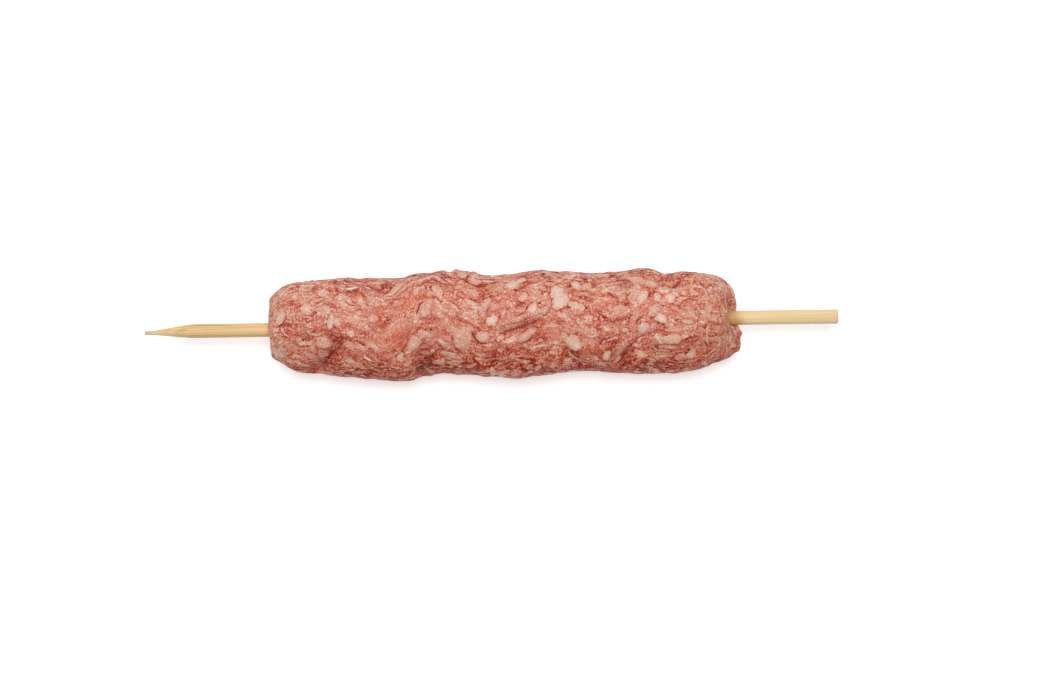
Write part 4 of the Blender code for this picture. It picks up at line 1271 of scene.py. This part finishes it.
def raw_mince():
    """Raw minced meat. One value, from the darkest lean at 0 to cream fat at 1, is built up from zones,
    smears, strands, grains and specks, then drawn to the tone of each fleck and piece of fat and down in
    each crack as painted shade, and a ramp turns it into colour. Painted shade also darkens the near flank,
    the bottom, the folds and the hollows of the relief, painted light brightens the far side, and the films
    are whitened partly as painted glints. The colour's hue and fullness drift a little from grain to grain.
    """
    made, start = new_material("raw_mince")
    place = start.place().scaled((1.0, 1.0, 0.6))
    across = place.part("Y")
    # Painted shade: the meat is drawn darker towards its bottom
    low = place.part("Z").rise(10.0, 7.0)
    flank = abs(across).rise(7.5, 13.5)
    # Painted shade: the near flank (-Y) is drawn darker and fuller in colour; the same mask sets its
    # streaks and stripes
    near_flank_shade_and_streaks = across.rise(-5.0, -14.0)
    red, coarse = start.field("red"), start.field("coarse")
    # The shade patches: painted shade in the folds, and paler spots where their amount is negative
    deep, yellow = start.field("deep"), start.field("yellow")

    # Places pushed about, so that patterns are ragged, and drawn out the way the meat was dragged
    flow = place.add("ShaderNodeCombineXYZ", {}, {"Y": start.field("flow") * -1})
    flowing = place.add("ShaderNodeVectorMath", {"operation": "ADD"}, {0: place, 1: flow})
    swirl = flowing.moved(place.noise(9.0, 1.0, 0.5, 1), 6.0)
    ragged = swirl.moved(place.noise(1.0, 1.0, 0.5, 1), 0.35)
    drawn_out = swirl.moved(place.noise(2.2, 1.0, 0.5, 1), 0.8).scaled((0.16, 1.0, 1.0))

    # Lean: broad zones and blotches, smears and strands, and dots of ground fat
    speck = place.noise(0.46, 1.5, 0.6) - 0.5
    zone = swirl.noise(6.0, 2.0, 0.6).rise(0.38, 0.60)
    smear = drawn_out.noise(1.4, 1.0, 0.5) - 0.5
    strand = drawn_out.noise(0.56, 1.0, 0.5) - 0.5
    blotch = swirl.scaled((0.6, 1.0, 1.0)).noise(3.0, 1.0, 0.5) - 0.5
    dots = ragged.scaled((0.8, 1.0, 1.0)).cells(0.62).rise(0.50, 0.12)
    streak = drawn_out.cells(0.85).rise(0.55, 0.25) - 0.25
    stripe = drawn_out.scaled((2.0, 1.0, 1.0)).cells(1.2).rise(0.45, 0.2) - 0.2
    calm = 1 - 0.4 * red
    pale = BASE_PALENESS + blotch * (0.85 - 0.50 * near_flank_shade_and_streaks) * calm
    pale = pale + smear * (0.6 - 0.2 * flank) * calm + strand * (0.6 + 0.9 * flank) * calm
    pale = pale + streak * flank * (0.22 + 0.08 * near_flank_shade_and_streaks) + stripe * near_flank_shade_and_streaks * 0.28
    pale = pale + (zone - 0.5) * 0.07 + (dots - 0.25) * (0.12 + 0.12 * zone + 0.22 * coarse) * calm
    # Painted light and shade: paler towards the far side (+Y), darker at its far edge and towards the
    # bottom
    pale = pale + across.rise(-2.0, 9.0) * 0.04 - across.rise(9.0, 13.0) * 0.06 - low * 0.10
    # Painted shade: darker on the near flank and in the shade patches of the folds
    pale = pale - near_flank_shade_and_streaks * 0.17 + 0.05 * coarse - 0.10 * red - 0.16 * deep - 0.06 * yellow

    # Flecks, each cell of the pattern with its own size and tone
    for size, stretch, share, soft, strength in FLECKS:
        ground = ragged.scaled((stretch, 1.0, 1.0))
        draws = ground.cells(size, "Color")
        size_draw, tone_draw = draws.draw(0), draws.draw(1)
        inside = (size_draw - 1 + share) * 0.55 - ground.cells(size)
        fleck = inside.rise(-soft, soft)
        rim = (abs(inside + 2 * soft) / soft).rise(1.0, 0.1) * size_draw.rise(0.5, 0.8)
        pale = pale + (fleck * (0.3 + tone_draw) * strength - rim * 0.05) * calm * (1 - 0.4 * near_flank_shade_and_streaks)

    # The pieces of fat, with a dark rim round the paler ones, and specks over everything
    tone, edge = start.field("fat_tone"), start.field("fat_edge")
    piece = ((edge + speck * (0.5 - 0.3 * tone)) / (0.34 - 0.14 * tone)).rise(-0.7, 1.0)
    rim = (abs(edge + 0.22) / 0.26).rise(1.0, 0.1) * tone.rise(0.2, 0.7)
    pale = pale - rim * place.noise(2.6).rise(0.42, 0.56) * 0.24
    fat_pale = 0.62 + 0.30 * tone + (dots - 0.25) * 0.10 + edge.rise(0.1, 1.1) * 0.12
    pale = pale + piece * (0.60 + 0.38 * tone) * (fat_pale - pale)
    pale = pale + speck * (1.06 + 0.3 * zone + 0.4 * coarse - 0.3 * red - 0.45 * piece * tone)
    pale = pale + (speck.rise(0.04, 0.26) - 0.2) * (0.26 - 0.2 * piece * tone)
    # Painted shade in the hollows of the relief, and a little painted light on its crests
    hollow = start.field("hollow")
    pale = pale - hollow.rise(0.05, 0.8) * 0.19 + hollow.rise(-0.10, -0.8) * 0.04

    # Fine dark lines and pale threads where noise crosses a value, then the cracks, drawn dark as painted
    # shade, and the films, pale sinew whitened partly as painted glints, with painted shade beside them
    line = (abs(swirl.noise(5.5, 1.0, 0.4) - 0.5) / 0.014).rise(1.0, 0.3)
    line = line * place.noise(3.0).rise(0.52, 0.60)
    thread = (abs(swirl.noise(4.2, 1.0, 0.4) - 0.56) / 0.013).rise(1.0, 0.3)
    thread = thread * place.noise(2.6).rise(0.55, 0.62)
    crease = (abs(start.field("crease_side")) / 0.34).rise(1.0, 0.2) * start.field("crease_dark")
    film_side, film_pale = abs(start.field("film_side")), start.field("film_pale")
    film = (film_side / 0.34).rise(1.0, 0.2) * film_pale
    # Painted shade in a band beside each film, as under a lifted edge
    beside = (abs(film_side - 0.55) / 0.3).rise(1.0, 0.1) * film_pale
    pale = pale - line * 0.18 + thread * 0.22 - beside * 0.16
    # Pale sinew and painted glints along the films
    pale = pale + film.rise(0.0, 1.0) * (1.0 - pale)
    # Painted shade: each crack is drawn dark
    pale = pale + crease * (0.05 - pale)

    colour = start.add("ShaderNodeValToRGB", {"stops": MEAT_COLOURS}, {0: pale})
    colour = colour.tint(SMEARED_RED, red * 0.35)
    # Painted glints: the films whitened over their pale sinew
    colour = colour.tint(SINEW_AND_GLINT_WHITE, film.rise(0.3, 1.0) * 0.6)
    colour = colour.tint(FAT_YELLOW, yellow * (piece * 0.40 + 0.25))
    drift = swirl.noise(2.2, 3.0, 0.9, 1)
    hue = (drift.draw(0) - 0.5) * 0.022 + 0.5
    # Painted shade: fuller colour on the near flank, and a darker value there and in the folds
    fullness = (drift.draw(1) - 0.5) * 0.5 + 1.0 - piece * tone * 0.08 + near_flank_shade_and_streaks * 0.07
    shade = 1.0 - deep * 0.12 - near_flank_shade_and_streaks * 0.01
    inputs = {"Hue": hue, "Saturation": fullness, "Value": shade, "Color": colour}
    colour = colour.add("ShaderNodeHueSaturation", {}, inputs)

    height = dots * 0.03 + speck * 0.06 + strand * (0.05 + 0.10 * flank) + piece * 0.04
    height = height - crease * 0.15 + film * 0.08 - line * 0.08 + thread * 0.05
    roughness = 0.52 - 0.10 * red + speck * 0.3 - 0.05 * piece
    inputs = {"Base Color": colour, "Roughness": roughness, "Normal": height.bump(0.9)}
    return finish_material(
        made, start, inputs, Specular_IOR_Level=0.12,
        Subsurface_Weight=0.08, Subsurface_Radius=(1.0, 0.35, 0.2), Subsurface_Scale=MM,
    )


def bamboo():
    """Bare bamboo: pale golden wood with fine lengthwise fibres, darker bundles and end grain."""
    made, start = new_material("bamboo")
    place = start.place()
    along, across = place.part("X"), place.part("Y")
    fibres = place.scaled((0.012, 1.0, 1.0))
    broad = fibres.noise(1.5, 2.0, 0.5)
    fine = fibres.noise(0.45, 2.0, 0.6)
    bundle = place.scaled((0.03, 1.0, 1.0)).noise(0.6, 2.0, 0.6)

    # The pointed half is more golden, above all along its middle and near side; the gold that grows
    # towards the near side is painted shade
    golden = along.rise(70.0, -70.0) * 0.40 + 0.05 - along.rise(-84.0, -95.0) * 0.22
    gilded_and_near_shade = golden * (0.20 + 0.75 * across.rise(1.6, -0.2)) + broad.rise(0.35, 0.75) * 0.3
    colour = start.blend((*BAMBOO_PALE, 1.0), BAMBOO_GOLD, gilded_and_near_shade)
    colour = colour.tint(BAMBOO_GOLD, fine.rise(0.49, 0.57) * (golden * 1.6 + 0.25))
    colour = colour.tint(BAMBOO_BROWN, bundle.rise(0.55, 0.63) * (golden * 1.2 + 0.05))
    # Painted shade: browner on the near side of the pointed half and along both edges
    shaded = across.rise(-0.8, -2.0) * golden * 0.4 + abs(across).rise(1.3, 2.0) * 0.10
    colour = colour.tint(BAMBOO_BROWN, shaded)

    # Wetted with juice and darkened by painted shadow where it comes out of the meat at the cut end, and
    # darker at the very tip
    mouth = along.rise(60.0, 66.0)
    colour = colour.tint(BAMBOO_GOLD, along.rise(78.0, 68.5) * mouth * 0.25)
    juice_stain_and_shadow = (along + broad * 1.6 + across * 0.5).rise(74.5, 70.5) * mouth
    colour = colour.tint(BAMBOO_BROWN, juice_stain_and_shadow * 0.85)
    colour = colour.tint(BAMBOO_BROWN, along.rise(-97.5, -100.0) * 0.5)
    bump = (fine * 0.03 + bundle * 0.03).bump(0.7)
    inputs = {"Base Color": colour, "Roughness": fine * 0.2 + 0.45, "Normal": bump}
    return finish_material(made, start, inputs, Specular_IOR_Level=0.35)


def black_pepper():
    """Crushed black pepper: nearly black husk with brown broken faces."""
    made, start = new_material("black_pepper")
    grain = start.place().noise(0.3, 2.0, 0.6)
    colour = start.blend((*PEPPER_BLACK, 1.0), PEPPER_BROWN, grain.rise(0.45, 0.65))
    inputs = {"Base Color": colour, "Roughness": grain * 0.3 + 0.6, "Normal": (grain * 0.1).bump(0.5)}
    return finish_material(made, start, inputs, Specular_IOR_Level=0.08)


def plain_floor():
    """The pale table: white, matt, and a little lit from within so that it stays white in shade."""
    made, start = new_material("plain_floor")
    inputs = {"Base Color": (*FLOOR_WHITE, 1.0), "Roughness": 0.9}
    return finish_material(
        made, start, inputs,
        Specular_IOR_Level=0.0, Emission_Color=WHITE, Emission_Strength=FLOOR_GLOW,
    )


def make_stage():
    """A white floor, one broad soft light above the far side, and a camera that looks down."""
    corners = np.array([(-1, -1, 0), (1, -1, 0), (1, 1, 0), (-1, 1, 0)]) * FLOOR_SIZE / 2
    floor = surface_piece("floor", corners, [(0, 1, 2, 3)], {}, plain_floor())

    light = bpy.data.lights.new("key", "AREA")
    light.shape = "DISK"
    light.size = KEY_SIZE * MM
    light.energy = KEY_POWER
    key = bpy.data.objects.new("key", light)
    key.location = [part * MM for part in KEY_PLACE]
    key.rotation_euler = (-math.atan2(KEY_PLACE[1], KEY_PLACE[2]), 0, 0)
    bpy.context.scene.collection.objects.link(key)

    world = bpy.data.worlds.new("room")
    world.use_nodes = True
    background = world.node_tree.nodes["Background"]
    background.inputs["Color"].default_value = WHITE
    background.inputs["Strength"].default_value = ROOM_LIGHT
    bpy.context.scene.world = world

    lens = bpy.data.cameras.new("camera")
    lens.lens = CAMERA_LENS
    camera = bpy.data.objects.new("camera", lens)
    camera.location = [part * MM for part in CAMERA_PLACE]
    camera.rotation_euler = (0, 0, -math.radians(CAMERA_TURN))
    bpy.context.scene.collection.objects.link(camera)
    bpy.context.scene.camera = camera
    bpy.context.scene.view_settings.view_transform = "Standard"


skin, points = make_meat()
make_stick()
make_pepper(skin, points)
make_stage()
